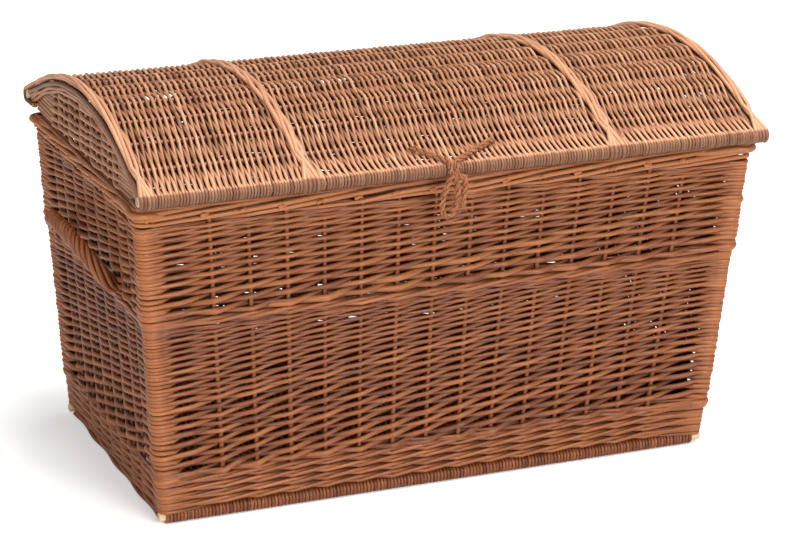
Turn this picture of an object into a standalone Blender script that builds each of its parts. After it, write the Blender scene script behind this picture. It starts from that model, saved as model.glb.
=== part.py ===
"""Woven willow storage trunk with a domed lid.

Metres, +Z up. The origin is on the floor under the middle of the base, X runs along the trunk's length and the
front wall faces -Y. The walls lean outward. The lid turns about its own rear stick, which three willow loops hold
against the rear border. A rope loop swings from the lid's front edge.
"""
import math

import bmesh
import bpy
from mathutils import Vector

# Driving dimensions
FLOOR_HALF_LENGTH = 0.350
FLOOR_HALF_DEPTH = 0.178
RIM_HALF_LENGTH = 0.386
RIM_HALF_DEPTH = 0.191
RIM_HEIGHT = 0.385
WALL_THICKNESS = 0.014
GAP = 0.0003

# Heights of the woven bands, from the floor up
BASE_TOP = 0.017
BASE_WALE_TOP = 0.057
LOWER_RAND_TOP = 0.243
MID_WALE_TOP = 0.256
UPPER_RAND_TOP = 0.365
BORDER_TOP = 0.392

# Uprights
FRONT_STAKES = 14
FRONT_STAKE_REACH = 0.79
END_STAKES = 7
END_STAKE_REACH = 0.665
STAKE_RADIUS = 0.003
STAKE_SIDES = 6
POST_RADIUS = 0.005
POST_SIDES = 8
POST_INSET = 0.009
CORNER_RADIUS = 0.012
CORNER_STEPS = 4

# Base
BASE_PLATE_BOTTOM = 0.0
BASE_PLATE_TOP = 0.0165
BASE_ROLL_RADIUS = 0.0085
BASE_STICK_RADIUS = 0.0055
BASE_STICK_OVERHANG = 0.002
BASE_INNER_STICKS = 7
BASE_INNER_STICK_RADIUS = 0.0045
ROLL_SIDES = 16

# Lid
LID_HALF_LENGTH = 0.386
LID_EDGE_HALF_DEPTH = 0.2105
LID_EDGE_HEIGHT = 0.407
DOME_RISE = 0.060
LID_WEAVE_THICKNESS = 0.012
LID_ROLL_RADIUS = 0.0087
LID_EDGE_STICK_RADIUS = 0.0055
LID_STICK_RADIUS = 0.003
LID_STICKS = 9
LID_STICK_SIDES = 8
LID_FRONT_STICK_OVERHANG = 0.005
LID_REAR_STICK_OVERHANG = 0.002
BOW_WIDTH = 0.010
BOW_THICKNESS = 0.014
RIB_CENTRE = 0.190
RIB_WIDTH = 0.016
RIB_THICKNESS = 0.018
RIB_ROLL_RADIUS = 0.0108
DOME_STEPS = 18
LUNETTE_HALF_DEPTH = 0.190
LUNETTE_THICKNESS = 0.012
LUNETTE_STEPS = 14
LUNETTE_BOTTOM = BORDER_TOP + 0.0005

# Handles
HANDLE_HALF_SPAN = 0.089
HANDLE_FOOT_HEIGHT = 0.266
HANDLE_RISE = 0.055
HANDLE_REACH = 0.042
HANDLE_RADIUS = 0.009
HANDLE_FOOT_RADIUS = 0.0055
HANDLE_TAIL = 0.004
HANDLE_SWELL_RATE = 2.5
HANDLE_STEPS = 16
TUBE_SIDES = 8

# Hinge loops
HINGE_POSITIONS = {"left": -0.229, "middle": 0.0, "right": 0.229}
HINGE_ROD_RADIUS = 0.0025
HINGE_SLOT_HEIGHT = 0.3735
HINGE_CLEARANCE = 0.0004
HINGE_NOTCH_RADIUS = 0.020
HINGE_NOTCH_WIDTH = 0.009
HINGE_ARC_STEPS = 8

# Rope closure
ROPE_RADIUS = 0.0032
CLOSURE_X = -0.020
CLOSURE_STANDOFF = 0.0006
CLOSURE_PIVOT_HEIGHT = 0.4045
LOOP_DROP = 0.050
LOOP_HALF_WIDTH = 0.0085
LOOP_TOP_NARROWING = 0.25
LOOP_STEPS = 20
TAIL_LENGTH = 0.034
TAIL_OFFSET = 0.0165
TAIL_BULGE = 0.002
ROPE_STEPS = 8
ARM_REACH = {"left": 0.040, "right": 0.066}
ARM_CLIMB = 0.031
ARM_START = 0.0075
ARM_SETTLE = 0.5

# Colours of willow, as linear red, green and blue
WALL_WILLOW = (0.36, 0.16, 0.07)
LID_WILLOW = (0.56, 0.28, 0.15)
BASE_WILLOW = (0.30, 0.13, 0.06)
PEELED_WILLOW = (0.66, 0.47, 0.28)
ROPE_FIBRE = (0.40, 0.18, 0.08)


def clear_scene():
    for old in list(bpy.data.objects):
        bpy.data.objects.remove(old, do_unlink=True)


def material(name, colour, roughness):
    made = bpy.data.materials.new(name)
    made.use_nodes = True
    shader = made.node_tree.nodes["Principled BSDF"]
    shader.inputs["Base Color"].default_value = (*colour, 1.0)
    shader.inputs["Roughness"].default_value = roughness
    shader.inputs["Metallic"].default_value = 0.0
    return made


def add_object(name, bm, finish=None, joint=None, pivot=(0.0, 0.0, 0.0)):
    """Turns a bmesh in world coordinates into an object; on a joint, its origin is the joint's pivot."""
    bmesh.ops.translate(bm, verts=bm.verts, vec=-Vector(pivot))
    bmesh.ops.recalc_face_normals(bm, faces=bm.faces)
    mesh = bpy.data.meshes.new(name)
    bm.to_mesh(mesh)
    bm.free()
    mesh.shade_smooth()
    mesh.set_sharp_from_angle(angle=math.radians(40))
    made = bpy.data.objects.new(name, mesh)
    bpy.context.scene.collection.objects.link(made)
    made.parent = joint
    if finish:
        mesh.materials.append(finish)
    return made


def add_cutter(name, bm):
    made = add_object(name, bm)
    made.hide_render = True
    made.display_type = "WIRE"
    return made


def add_joint_empty(name, location, parent=None):
    made = bpy.data.objects.new(name, None)
    bpy.context.scene.collection.objects.link(made)
    made.location = Vector(location)
    if parent:
        made.parent = parent
        made.location = Vector(location) - parent.location
    return made


def boolean(target, other, operation):
    modifier = target.modifiers.new(other.name, "BOOLEAN")
    modifier.operation = operation
    modifier.object = other
    modifier.solver = "EXACT"


def loft(bm, loops, closed):
    """Skins loops of equal length; closed joins the last loop to the first, otherwise both ends are capped."""
    rings = [[bm.verts.new(point) for point in loop] for loop in loops]
    count = len(rings[0])
    last = len(rings) if closed else len(rings) - 1
    for i in range(last):
        low, high = rings[i], rings[(i + 1) % len(rings)]
        for j in range(count):
            k = (j + 1) % count
            bm.faces.new((low[j], low[k], high[k], high[j]))
    if not closed:
        bm.faces.new(rings[0][::-1])
        bm.faces.new(rings[-1])


def tube(bm, path, radii, sides, closed=False):
    """A round bar along a path of points, with one radius for each point."""
    points = [Vector(point) for point in path]
    count = len(points)
    tangents = []
    for i in range(count):
        before = points[i - 1] if closed or i > 0 else points[i]
        after = points[(i + 1) % count] if closed or i < count - 1 else points[i]
        tangents.append((after - before).normalized())
    start = Vector((0.0, 0.0, 1.0)) if abs(tangents[0].z) < 0.9 else Vector((1.0, 0.0, 0.0))
    normal = (start - tangents[0] * start.dot(tangents[0])).normalized()
    loops = []
    for point, tangent, radius in zip(points, tangents, radii):
        normal = (normal - tangent * normal.dot(tangent)).normalized()
        side = tangent.cross(normal)
        ring = []
        for j in range(sides):
            turn = 2.0 * math.pi * j / sides
            ring.append(point + normal * (radius * math.cos(turn)) + side * (radius * math.sin(turn)))
        loops.append(ring)
    loft(bm, loops, closed)


# The walls


def outer_half_sizes(z):
    """Half-length and half-depth of the walls' outer face at a height."""
    share = z / RIM_HEIGHT
    half_length = FLOOR_HALF_LENGTH + (RIM_HALF_LENGTH - FLOOR_HALF_LENGTH) * share
    half_depth = FLOOR_HALF_DEPTH + (RIM_HALF_DEPTH - FLOOR_HALF_DEPTH) * share
    return half_length, half_depth


def rounded_rectangle(half_x, half_y, radius, z):
    points = []
    for quarter in range(4):
        centre_x = (half_x - radius) * (1 if quarter in (0, 3) else -1)
        centre_y = (half_y - radius) * (1 if quarter in (0, 1) else -1)
        for step in range(CORNER_STEPS + 1):
            turn = math.pi / 2 * (quarter + step / CORNER_STEPS)
            points.append((centre_x + radius * math.cos(turn), centre_y + radius * math.sin(turn), z))
    return points


def band_loops(z_low, z_high):
    inner_radius = CORNER_RADIUS / 4
    loops = []
    for z, inset, radius in (
        (z_low, 0.0, CORNER_RADIUS),
        (z_high, 0.0, CORNER_RADIUS),
        (z_high, WALL_THICKNESS, inner_radius),
        (z_low, WALL_THICKNESS, inner_radius),
    ):
        half_x, half_y = outer_half_sizes(z)
        loops.append(rounded_rectangle(half_x - inset, half_y - inset, radius, z))
    return loops


def woven_band(name, z_low, z_high, finish):
    bm = bmesh.new()
    loft(bm, band_loops(z_low, z_high), closed=True)
    return add_object(name, bm, finish)


def leaning_bar(bm, place, z_low, z_high, radius, sides):
    """A straight upright whose centre is place(z), with level ends."""
    loops = []
    for z in (z_low, z_high):
        x, y = place(z)
        loops.append(
            [
                (
                    x + radius * math.cos(2.0 * math.pi * (j + 0.5) / sides),
                    y + radius * math.sin(2.0 * math.pi * (j + 0.5) / sides),
                    z,
                )
                for j in range(sides)
            ]
        )
    loft(bm, loops, closed=False)


def stake_places(wall):
    """One function of height for each stake of a wall."""
    long_wall = wall in ("front", "rear")
    count = FRONT_STAKES if long_wall else END_STAKES
    reach = FRONT_STAKE_REACH if long_wall else END_STAKE_REACH
    sign = 1 if wall in ("rear", "right") else -1
    places = []
    for i in range(count):
        share = reach * (2.0 * i / (count - 1) - 1.0)

        def place(z, share=share):
            half_x, half_y = outer_half_sizes(z)
            along_x = half_x - WALL_THICKNESS / 2
            along_y = half_y - WALL_THICKNESS / 2
            return (along_x * share, along_y * sign) if long_wall else (along_x * sign, along_y * share)

        places.append(place)
    return places


def post_place(sign_x, sign_y):
    def place(z):
        half_x, half_y = outer_half_sizes(z)
        return sign_x * (half_x - POST_INSET), sign_y * (half_y - POST_INSET)

    return place


CORNERS = {
    "front_left": (-1, -1),
    "front_right": (1, -1),
    "rear_left": (-1, 1),
    "rear_right": (1, 1),
}
WALLS = ("front", "rear", "left", "right")


def upright_channels():
    """The clearance that the bands leave around every stake and corner post."""
    bm = bmesh.new()
    z_low = BASE_TOP - GAP
    z_high = UPPER_RAND_TOP + GAP
    for wall in WALLS:
        for place in stake_places(wall):
            leaning_bar(bm, place, z_low, z_high, STAKE_RADIUS + GAP, STAKE_SIDES)
    for sign_x, sign_y in CORNERS.values():
        leaning_bar(bm, post_place(sign_x, sign_y), z_low, z_high, POST_RADIUS + GAP, POST_SIDES)
    return add_cutter("upright_channels", bm)


def border_length(wall, finish):
    """One wall's length of the top border, mitred at its ends, with the wall's stakes standing under it."""
    z_low = UPPER_RAND_TOP + GAP
    loops = []
    for z in (z_low, BORDER_TOP):
        half_x, half_y = outer_half_sizes(z)
        inner_x = half_x - WALL_THICKNESS
        inner_y = half_y - WALL_THICKNESS
        if wall in ("front", "rear"):
            sign = 1 if wall == "rear" else -1
            outline = [(-(half_x - GAP), sign * half_y), (half_x - GAP, sign * half_y)]
            outline += [(inner_x - GAP, sign * inner_y), (-(inner_x - GAP), sign * inner_y)]
        else:
            sign = 1 if wall == "right" else -1
            outline = [(sign * half_x, -(half_y - GAP)), (sign * half_x, half_y - GAP)]
            outline += [(sign * inner_x, inner_y - GAP), (sign * inner_x, -(inner_y - GAP))]
        loops.append([(x, y, z) for x, y in outline])
    bm = bmesh.new()
    loft(bm, loops, closed=False)
    border = add_object(f"{wall}_stakes_and_border", bm, finish)

    bm = bmesh.new()
    for place in stake_places(wall):
        leaning_bar(bm, place, BASE_TOP + GAP, z_low + STAKE_RADIUS, STAKE_RADIUS, STAKE_SIDES)
    stakes = add_cutter(f"{wall}_stake_shafts", bm)
    boolean(border, stakes, "UNION")


def corner_post(name, signs, finish):
    bm = bmesh.new()
    leaning_bar(bm, post_place(*signs), BASE_TOP + GAP, UPPER_RAND_TOP, POST_RADIUS, POST_SIDES)
    add_object(f"corner_post_{name}", bm, finish)


# The base


def round_bar(bm, half_length, y, z, radius, sides):
    """A stick along X."""
    loops = []
    for x in (-half_length, half_length):
        loops.append(
            [
                (
                    x,
                    y + radius * math.cos(2.0 * math.pi * (j + 0.5) / sides),
                    z + radius * math.sin(2.0 * math.pi * (j + 0.5) / sides),
                )
                for j in range(sides)
            ]
        )
    loft(bm, loops, closed=False)


def base_stick_rows():
    """Name, place across the depth and radius of every base stick."""
    edge = FLOOR_HALF_DEPTH - BASE_ROLL_RADIUS
    rows = [("front", -edge, BASE_STICK_RADIUS), ("rear", edge, BASE_STICK_RADIUS)]
    spacing = 2.0 * edge / (BASE_INNER_STICKS + 1)
    for i in range(BASE_INNER_STICKS):
        rows.append((f"inner_{i + 1}", -edge + spacing * (i + 1), BASE_INNER_STICK_RADIUS))
    return rows


def base_outline():
    """The base weave's section: a plate between two round rolls that wrap the edge sticks."""
    edge = FLOOR_HALF_DEPTH - BASE_ROLL_RADIUS
    centre_z = BASE_ROLL_RADIUS
    corner = BASE_ROLL_RADIUS / math.cos(math.pi / ROLL_SIDES)
    outline = []
    for sign in (1, -1):
        for j in range(ROLL_SIDES):
            turn = 2.0 * math.pi * (j + 0.5) / ROLL_SIDES - math.pi
            y = sign * (edge + corner * math.cos(turn))
            z = centre_z + sign * corner * math.sin(turn)
            if abs(y) >= edge:
                outline.append((y, z))
        plate_z = BASE_PLATE_TOP if sign > 0 else BASE_PLATE_BOTTOM
        outline.append((sign * (edge - BASE_ROLL_RADIUS / 2), plate_z))
        outline.append((-sign * (edge - BASE_ROLL_RADIUS / 2), plate_z))
    return outline


def base_weave(finish):
    half_length = FLOOR_HALF_LENGTH - BASE_STICK_OVERHANG
    bm = bmesh.new()
    outline = base_outline()
    loft(bm, [[(x, y, z) for y, z in outline] for x in (-half_length, half_length)], closed=False)
    weave = add_object("base_weave", bm, finish)
    bm = bmesh.new()
    for _, y, radius in base_stick_rows():
        round_bar(bm, FLOOR_HALF_LENGTH + WALL_THICKNESS, y, BASE_ROLL_RADIUS, radius + GAP, POST_SIDES)
    boolean(weave, add_cutter("base_stick_channels", bm), "DIFFERENCE")


def base_sticks(finish):
    for name, y, radius in base_stick_rows():
        edge_stick = name in ("front", "rear")
        overhang = BASE_STICK_OVERHANG if edge_stick else -BASE_STICK_OVERHANG
        bm = bmesh.new()
        round_bar(bm, FLOOR_HALF_LENGTH + overhang, y, BASE_ROLL_RADIUS, radius, POST_SIDES)
        add_object(f"base_stick_{name}", bm, finish)


# The lid


def dome_radius():
    return (LID_EDGE_HALF_DEPTH**2 + DOME_RISE**2) / (2.0 * DOME_RISE)


def dome_centre_height():
    return LID_EDGE_HEIGHT + DOME_RISE - dome_radius()


def dome_point(angle, offset=0.0):
    """Depth and height of a point on the arc of lid sticks; angle is from the top, positive to the rear."""
    radius = dome_radius() + offset
    return radius * math.sin(angle), dome_centre_height() + radius * math.cos(angle)


def dome_edge_angle():
    return math.asin(LID_EDGE_HALF_DEPTH / dome_radius())


def roll_meets_arc(roll_radius, arc_radius):
    """The angle on the dome at which a circle round the edge stick crosses an arc about the dome's centre."""
    centre_distance = dome_radius()
    cosine = (centre_distance**2 + arc_radius**2 - roll_radius**2) / (2.0 * centre_distance * arc_radius)
    return dome_edge_angle() - math.acos(cosine)


def dome_outline(thickness, roll_radius):
    """Section of a lid band: two arcs joined at each edge by a roll round the edge stick."""
    half = thickness / 2
    outer = roll_meets_arc(roll_radius, dome_radius() + half)
    inner = roll_meets_arc(roll_radius, dome_radius() - half)
    outline = []
    for step in range(DOME_STEPS + 1):
        outline.append(dome_point(-outer + 2.0 * outer * step / DOME_STEPS, half))
    outline += roll_points(dome_point(outer, half), dome_point(inner, -half), roll_radius, 1)
    for step in range(DOME_STEPS + 1):
        outline.append(dome_point(inner - 2.0 * inner * step / DOME_STEPS, -half))
    outline += roll_points(dome_point(-inner, -half), dome_point(-outer, half), roll_radius, -1)
    return outline


def roll_points(start, end, roll_radius, side):
    """Points of a roll between two arcs, round the outside of the rear (side 1) or front (side -1) stick."""
    centre_y = side * LID_EDGE_HALF_DEPTH
    first = math.atan2(start[1] - LID_EDGE_HEIGHT, start[0] - centre_y)
    final = math.atan2(end[1] - LID_EDGE_HEIGHT, end[0] - centre_y)
    sweep = (final - first) % (-2.0 * math.pi)
    steps = ROLL_SIDES * 3 // 4
    points = []
    for step in range(1, steps):
        turn = first + sweep * step / steps
        points.append((centre_y + roll_radius * math.cos(turn), LID_EDGE_HEIGHT + roll_radius * math.sin(turn)))
    return points


def lid_stick_rows():
    """Name, depth, height, radius and half-length of every lid stick, front to rear."""
    edge = dome_edge_angle()
    rows = [
        ("front", *dome_point(-edge), LID_EDGE_STICK_RADIUS, LID_HALF_LENGTH + LID_FRONT_STICK_OVERHANG),
        ("rear", *dome_point(edge), LID_EDGE_STICK_RADIUS, LID_HALF_LENGTH + LID_REAR_STICK_OVERHANG),
    ]
    inner_half_length = LID_HALF_LENGTH - BOW_WIDTH - GAP
    for i in range(LID_STICKS):
        angle = -edge + 2.0 * edge * (i + 1) / (LID_STICKS + 1)
        rows.append((str(i + 1), *dome_point(angle), LID_STICK_RADIUS, inner_half_length))
    return rows


def stick_channels(name, rows):
    bm = bmesh.new()
    for _, y, z, radius, half_length in rows:
        round_bar(bm, half_length + WALL_THICKNESS, y, z, radius + GAP, LID_STICK_SIDES)
    return add_cutter(name, bm)


def lid_band(name, x_low, x_high, thickness, roll_radius, finish, lid):
    bm = bmesh.new()
    outline = dome_outline(thickness, roll_radius)
    loft(bm, [[(x, y, z) for y, z in outline] for x in (x_low, x_high)], closed=False)
    return add_object(name, bm, finish, lid, lid.location)


def lid_end(name, sign, finish, lid):
    """The woven half-moon that closes one end of the dome."""
    x_outer = sign * LID_HALF_LENGTH
    x_inner = sign * (LID_HALF_LENGTH - LUNETTE_THICKNESS)
    under = BOW_THICKNESS / 2 + GAP
    top = math.asin(LUNETTE_HALF_DEPTH / (dome_radius() - under))
    outline = [(-LUNETTE_HALF_DEPTH, LUNETTE_BOTTOM), (LUNETTE_HALF_DEPTH, LUNETTE_BOTTOM)]
    for step in range(LUNETTE_STEPS + 1):
        outline.append(dome_point(top - 2.0 * top * step / LUNETTE_STEPS, -under))
    bm = bmesh.new()
    loft(bm, [[(x, y, z) for y, z in outline] for x in (x_inner, x_outer)], closed=False)
    add_object(name, bm, finish, lid, lid.location)


def build_lid(lid, weave_finish, stick_finish):
    for name, y, z, radius, half_length in lid_stick_rows():
        bm = bmesh.new()
        round_bar(bm, half_length, y, z, radius, LID_STICK_SIDES)
        add_object(f"lid_stick_{name}", bm, stick_finish, lid, lid.location)

    channels = stick_channels("lid_stick_channels", lid_stick_rows())
    edge_channels = stick_channels("lid_edge_stick_channels", lid_stick_rows()[:2])
    notches = hinge_notches()
    rib_low = RIB_CENTRE - RIB_WIDTH / 2
    rib_high = RIB_CENTRE + RIB_WIDTH / 2
    bow_inner = LID_HALF_LENGTH - BOW_WIDTH
    panels = {
        "left": (-bow_inner + GAP, -rib_high - GAP),
        "middle": (-rib_low + GAP, rib_low - GAP),
        "right": (rib_high + GAP, bow_inner - GAP),
    }
    for name, (x_low, x_high) in panels.items():
        panel = lid_band(
            f"lid_weave_{name}", x_low, x_high, LID_WEAVE_THICKNESS, LID_ROLL_RADIUS, weave_finish, lid
        )
        boolean(panel, channels, "DIFFERENCE")
        boolean(panel, notches, "DIFFERENCE")
    for name, sign in (("left", -1), ("right", 1)):
        low, high = sorted((sign * rib_low, sign * rib_high))
        rib = lid_band(f"lid_rib_{name}", low, high, RIB_THICKNESS, RIB_ROLL_RADIUS, weave_finish, lid)
        boolean(rib, channels, "DIFFERENCE")
        low, high = sorted((sign * bow_inner, sign * LID_HALF_LENGTH))
        bow = lid_band(f"lid_bow_{name}", low, high, BOW_THICKNESS, LID_ROLL_RADIUS, weave_finish, lid)
        boolean(bow, edge_channels, "DIFFERENCE")
        lid_end(f"lid_end_{name}", sign, weave_finish, lid)


# Hinge loops


def tangent_turn(point, centre, radius, side):
    """Direction from a circle's centre to where a line from a point touches it, on one side."""
    dy, dz = centre[0] - point[0], centre[1] - point[1]
    heading = math.atan2(dz, dy)
    return heading + side * (math.pi / 2 + math.asin(radius / math.hypot(dy, dz)))


def hinge_path(x):
    """A closed path round the lid's rear stick and the top strand of the rear border."""
    stick = (LID_EDGE_HALF_DEPTH, LID_EDGE_HEIGHT)
    round_stick = LID_EDGE_STICK_RADIUS + GAP + HINGE_ROD_RADIUS
    _, wall_y = outer_half_sizes(HINGE_SLOT_HEIGHT)
    clear = HINGE_ROD_RADIUS + 2 * HINGE_CLEARANCE
    inside_y = wall_y - WALL_THICKNESS - clear
    outside_y = wall_y + clear
    above = (inside_y, BORDER_TOP + clear)
    inner_mouth = (inside_y, HINGE_SLOT_HEIGHT)
    outer_mouth = (outside_y, HINGE_SLOT_HEIGHT)
    first = tangent_turn(outer_mouth, stick, round_stick, -1)
    final = tangent_turn(above, stick, round_stick, 1)
    sweep = (final - first) % (2.0 * math.pi)
    points = []
    for step in range(HINGE_ARC_STEPS + 1):
        turn = first + sweep * step / HINGE_ARC_STEPS
        points.append((stick[0] + round_stick * math.cos(turn), stick[1] + round_stick * math.sin(turn)))
    points += [above, inner_mouth, outer_mouth]
    return [(x, y, z) for y, z in points]


def hinge_loop(name, x, finish):
    bm = bmesh.new()
    path = hinge_path(x)
    tube(bm, path, [HINGE_ROD_RADIUS] * len(path), TUBE_SIDES, closed=True)
    add_object(f"hinge_loop_{name}", bm, finish)


def hinge_slots():
    """The room that the rear border leaves for the loops."""
    bm = bmesh.new()
    for x in HINGE_POSITIONS.values():
        path = hinge_path(x)
        tube(bm, path, [HINGE_ROD_RADIUS + HINGE_CLEARANCE] * len(path), TUBE_SIDES, closed=True)
    return add_cutter("hinge_slots", bm)


def hinge_notches():
    """The gaps in the lid's rear roll, through which the loops reach the stick."""
    bm = bmesh.new()
    for x in HINGE_POSITIONS.values():
        loops = []
        for end in (x - HINGE_NOTCH_WIDTH / 2, x + HINGE_NOTCH_WIDTH / 2):
            ring = []
            for j in range(ROLL_SIDES):
                turn = 2.0 * math.pi * (j + 0.5) / ROLL_SIDES
                y = LID_EDGE_HALF_DEPTH + HINGE_NOTCH_RADIUS * math.cos(turn)
                z = LID_EDGE_HEIGHT + HINGE_NOTCH_RADIUS * math.sin(turn)
                ring.append((end, y, z))
            loops.append(ring)
        loft(bm, loops, closed=False)
    return add_cutter("hinge_notches", bm)


# Handles


def handle_path(sign):
    """A bow that leaves the end wall at both feet, and leans up and out between them."""
    half_x, _ = outer_half_sizes(HANDLE_FOOT_HEIGHT)
    wall_inside = half_x - WALL_THICKNESS - HANDLE_TAIL
    path = [(sign * wall_inside, -HANDLE_HALF_SPAN, HANDLE_FOOT_HEIGHT)]
    radii = [HANDLE_FOOT_RADIUS]
    for step in range(HANDLE_STEPS + 1):
        turn = math.pi * step / HANDLE_STEPS
        swell = min(1.0, HANDLE_SWELL_RATE * math.sin(turn))
        x = half_x + HANDLE_FOOT_RADIUS + HANDLE_REACH * math.sin(turn)
        y = -HANDLE_HALF_SPAN * math.cos(turn)
        z = HANDLE_FOOT_HEIGHT + HANDLE_RISE * math.sin(turn)
        path.append((sign * x, y, z))
        radii.append(HANDLE_FOOT_RADIUS + (HANDLE_RADIUS - HANDLE_FOOT_RADIUS) * swell)
    path.append((sign * wall_inside, HANDLE_HALF_SPAN, HANDLE_FOOT_HEIGHT))
    radii.append(HANDLE_FOOT_RADIUS)
    return path, radii


def handle(name, sign, finish):
    path, radii = handle_path(sign)
    bm = bmesh.new()
    tube(bm, path, radii, TUBE_SIDES)
    add_object(f"handle_{name}", bm, finish)


def handle_sockets():
    bm = bmesh.new()
    for sign in (-1, 1):
        path, radii = handle_path(sign)
        tube(bm, path, [radius + GAP for radius in radii], TUBE_SIDES)
    return add_cutter("handle_sockets", bm)


# Rope closure


def closure_pivot():
    y = -(LID_EDGE_HALF_DEPTH + LID_ROLL_RADIUS + CLOSURE_STANDOFF + ROPE_RADIUS)
    return CLOSURE_X, y, CLOSURE_PIVOT_HEIGHT


def closure_loop(loop, finish):
    x, y, z = closure_pivot()
    path = []
    for step in range(LOOP_STEPS):
        turn = 2.0 * math.pi * step / LOOP_STEPS
        drop = LOOP_DROP * (1.0 - math.cos(turn)) / 2
        narrowing = LOOP_TOP_NARROWING * (1.0 - drop / LOOP_DROP)
        width = LOOP_HALF_WIDTH * math.sin(turn) * (1.0 - narrowing)
        path.append((x + width, y, z - drop))
    bm = bmesh.new()
    tube(bm, path, [ROPE_RADIUS] * LOOP_STEPS, TUBE_SIDES, closed=True)
    add_object("closure_loop", bm, finish, loop, closure_pivot())


def closure_tail(loop, finish):
    x, y, z = closure_pivot()
    path = []
    for step in range(ROPE_STEPS + 1):
        share = step / ROPE_STEPS
        path.append((x + TAIL_OFFSET + TAIL_BULGE * math.sin(math.pi * share), y, z - TAIL_LENGTH * share))
    bm = bmesh.new()
    tube(bm, path, [ROPE_RADIUS] * len(path), TUBE_SIDES)
    add_object("closure_tail", bm, finish, loop, closure_pivot())


def closure_arm(name, sign, lid, finish):
    """A rope arm that lies on the lid, from the weave down to the front roll."""
    clear = ROPE_RADIUS + CLOSURE_STANDOFF
    edge = dome_edge_angle()
    climb = ARM_CLIMB / dome_radius()
    path = []
    for step in range(ROPE_STEPS + 1):
        share = step / ROPE_STEPS
        settled = min(1.0, share / ARM_SETTLE)
        lift = clear + LID_ROLL_RADIUS + (LID_WEAVE_THICKNESS / 2 - LID_ROLL_RADIUS) * settled
        x = CLOSURE_X + sign * (ARM_START + (ARM_REACH[name] - ARM_START) * share)
        y, z = dome_point(-edge + climb * share, lift)
        path.append((x, y, z))
    bm = bmesh.new()
    tube(bm, path, [ROPE_RADIUS] * len(path), TUBE_SIDES)
    add_object(f"closure_arm_{name}", bm, finish, lid, lid.location)


def build():
    clear_scene()
    wall_finish = material("wall_willow", WALL_WILLOW, 0.55)
    lid_finish = material("lid_willow", LID_WILLOW, 0.50)
    base_finish = material("base_willow", BASE_WILLOW, 0.60)
    stick_finish = material("stick_willow", PEELED_WILLOW, 0.65)
    rope_finish = material("rope_fibre", ROPE_FIBRE, 0.90)

    base_weave(base_finish)
    base_sticks(stick_finish)
    for name, signs in CORNERS.items():
        corner_post(name, signs, stick_finish)

    channels = upright_channels()
    bands = {
        "base_wale": (BASE_TOP + GAP, BASE_WALE_TOP),
        "lower_rand": (BASE_WALE_TOP + GAP, LOWER_RAND_TOP),
        "mid_wale": (LOWER_RAND_TOP + GAP, MID_WALE_TOP),
        "upper_rand": (MID_WALE_TOP + GAP, UPPER_RAND_TOP),
    }
    for name, (z_low, z_high) in bands.items():
        band = woven_band(name, z_low, z_high, wall_finish)
        boolean(band, channels, "DIFFERENCE")
    boolean(bpy.data.objects["upper_rand"], handle_sockets(), "DIFFERENCE")

    for wall in WALLS:
        border_length(wall, wall_finish)
    boolean(bpy.data.objects["rear_stakes_and_border"], hinge_slots(), "DIFFERENCE")

    for name, sign in (("left", -1), ("right", 1)):
        handle(name, sign, wall_finish)
    for name, x in HINGE_POSITIONS.items():
        hinge_loop(name, x, wall_finish)

    lid = add_joint_empty("lid_hinge", (0.0, LID_EDGE_HALF_DEPTH, LID_EDGE_HEIGHT))
    build_lid(lid, lid_finish, stick_finish)
    for name, sign in (("left", -1), ("right", 1)):
        closure_arm(name, sign, lid, rope_finish)
    loop = add_joint_empty("closure_swing", closure_pivot(), lid)
    closure_loop(loop, rope_finish)
    closure_tail(loop, rope_finish)


build()
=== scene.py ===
"""The looks of a woven willow storage trunk: every rod, stick and rope ply, the finishes, light and camera.

Metres, +Z up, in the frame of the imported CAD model. The front wall faces -Y.
"""
import math

import bpy
import numpy as np
from mathutils import Matrix, Vector

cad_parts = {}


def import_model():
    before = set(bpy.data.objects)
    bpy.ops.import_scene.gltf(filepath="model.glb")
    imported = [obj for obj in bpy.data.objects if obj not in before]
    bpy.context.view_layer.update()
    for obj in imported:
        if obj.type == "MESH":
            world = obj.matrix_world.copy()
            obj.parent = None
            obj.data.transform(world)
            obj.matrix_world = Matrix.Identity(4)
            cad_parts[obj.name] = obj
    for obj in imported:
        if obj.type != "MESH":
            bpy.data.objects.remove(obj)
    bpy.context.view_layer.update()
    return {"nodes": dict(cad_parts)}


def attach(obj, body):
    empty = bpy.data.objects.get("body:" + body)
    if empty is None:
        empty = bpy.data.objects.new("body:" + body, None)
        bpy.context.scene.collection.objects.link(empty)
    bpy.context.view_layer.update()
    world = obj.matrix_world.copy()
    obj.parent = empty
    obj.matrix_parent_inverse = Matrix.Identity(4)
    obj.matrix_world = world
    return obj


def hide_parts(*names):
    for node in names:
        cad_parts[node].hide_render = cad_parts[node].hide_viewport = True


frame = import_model()
random = np.random.default_rng(20)

# Driving dimensions, from the CAD model
FLOOR_HALF_LENGTH = 0.350
FLOOR_HALF_DEPTH = 0.178
RIM_HALF_LENGTH = 0.386
RIM_HALF_DEPTH = 0.191
RIM_HEIGHT = 0.385
WALL_THICKNESS = 0.014
BASE_WALE_TOP = 0.057
LOWER_RAND_TOP = 0.243
MID_WALE_TOP = 0.256
UPPER_RAND_TOP = 0.365
BORDER_TOP = 0.392
FRONT_STAKES = 14
FRONT_STAKE_REACH = 0.79
END_STAKES = 7
END_STAKE_REACH = 0.665
POST_RADIUS = 0.005
POST_INSET = 0.009
BASE_ROLL_RADIUS = 0.0085
BASE_STICK_RADIUS = 0.0055
BASE_STICK_OVERHANG = 0.002
BASE_INNER_STICKS = 7
BASE_INNER_STICK_RADIUS = 0.0045
LID_HALF_LENGTH = 0.386
LID_EDGE_HALF_DEPTH = 0.2105
LID_EDGE_HEIGHT = 0.407
DOME_RISE = 0.060
LID_EDGE_STICK_RADIUS = 0.0055
LID_STICK_RADIUS = 0.003
LID_STICKS = 9
BOW_WIDTH = 0.010
RIB_CENTRE = 0.190
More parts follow.
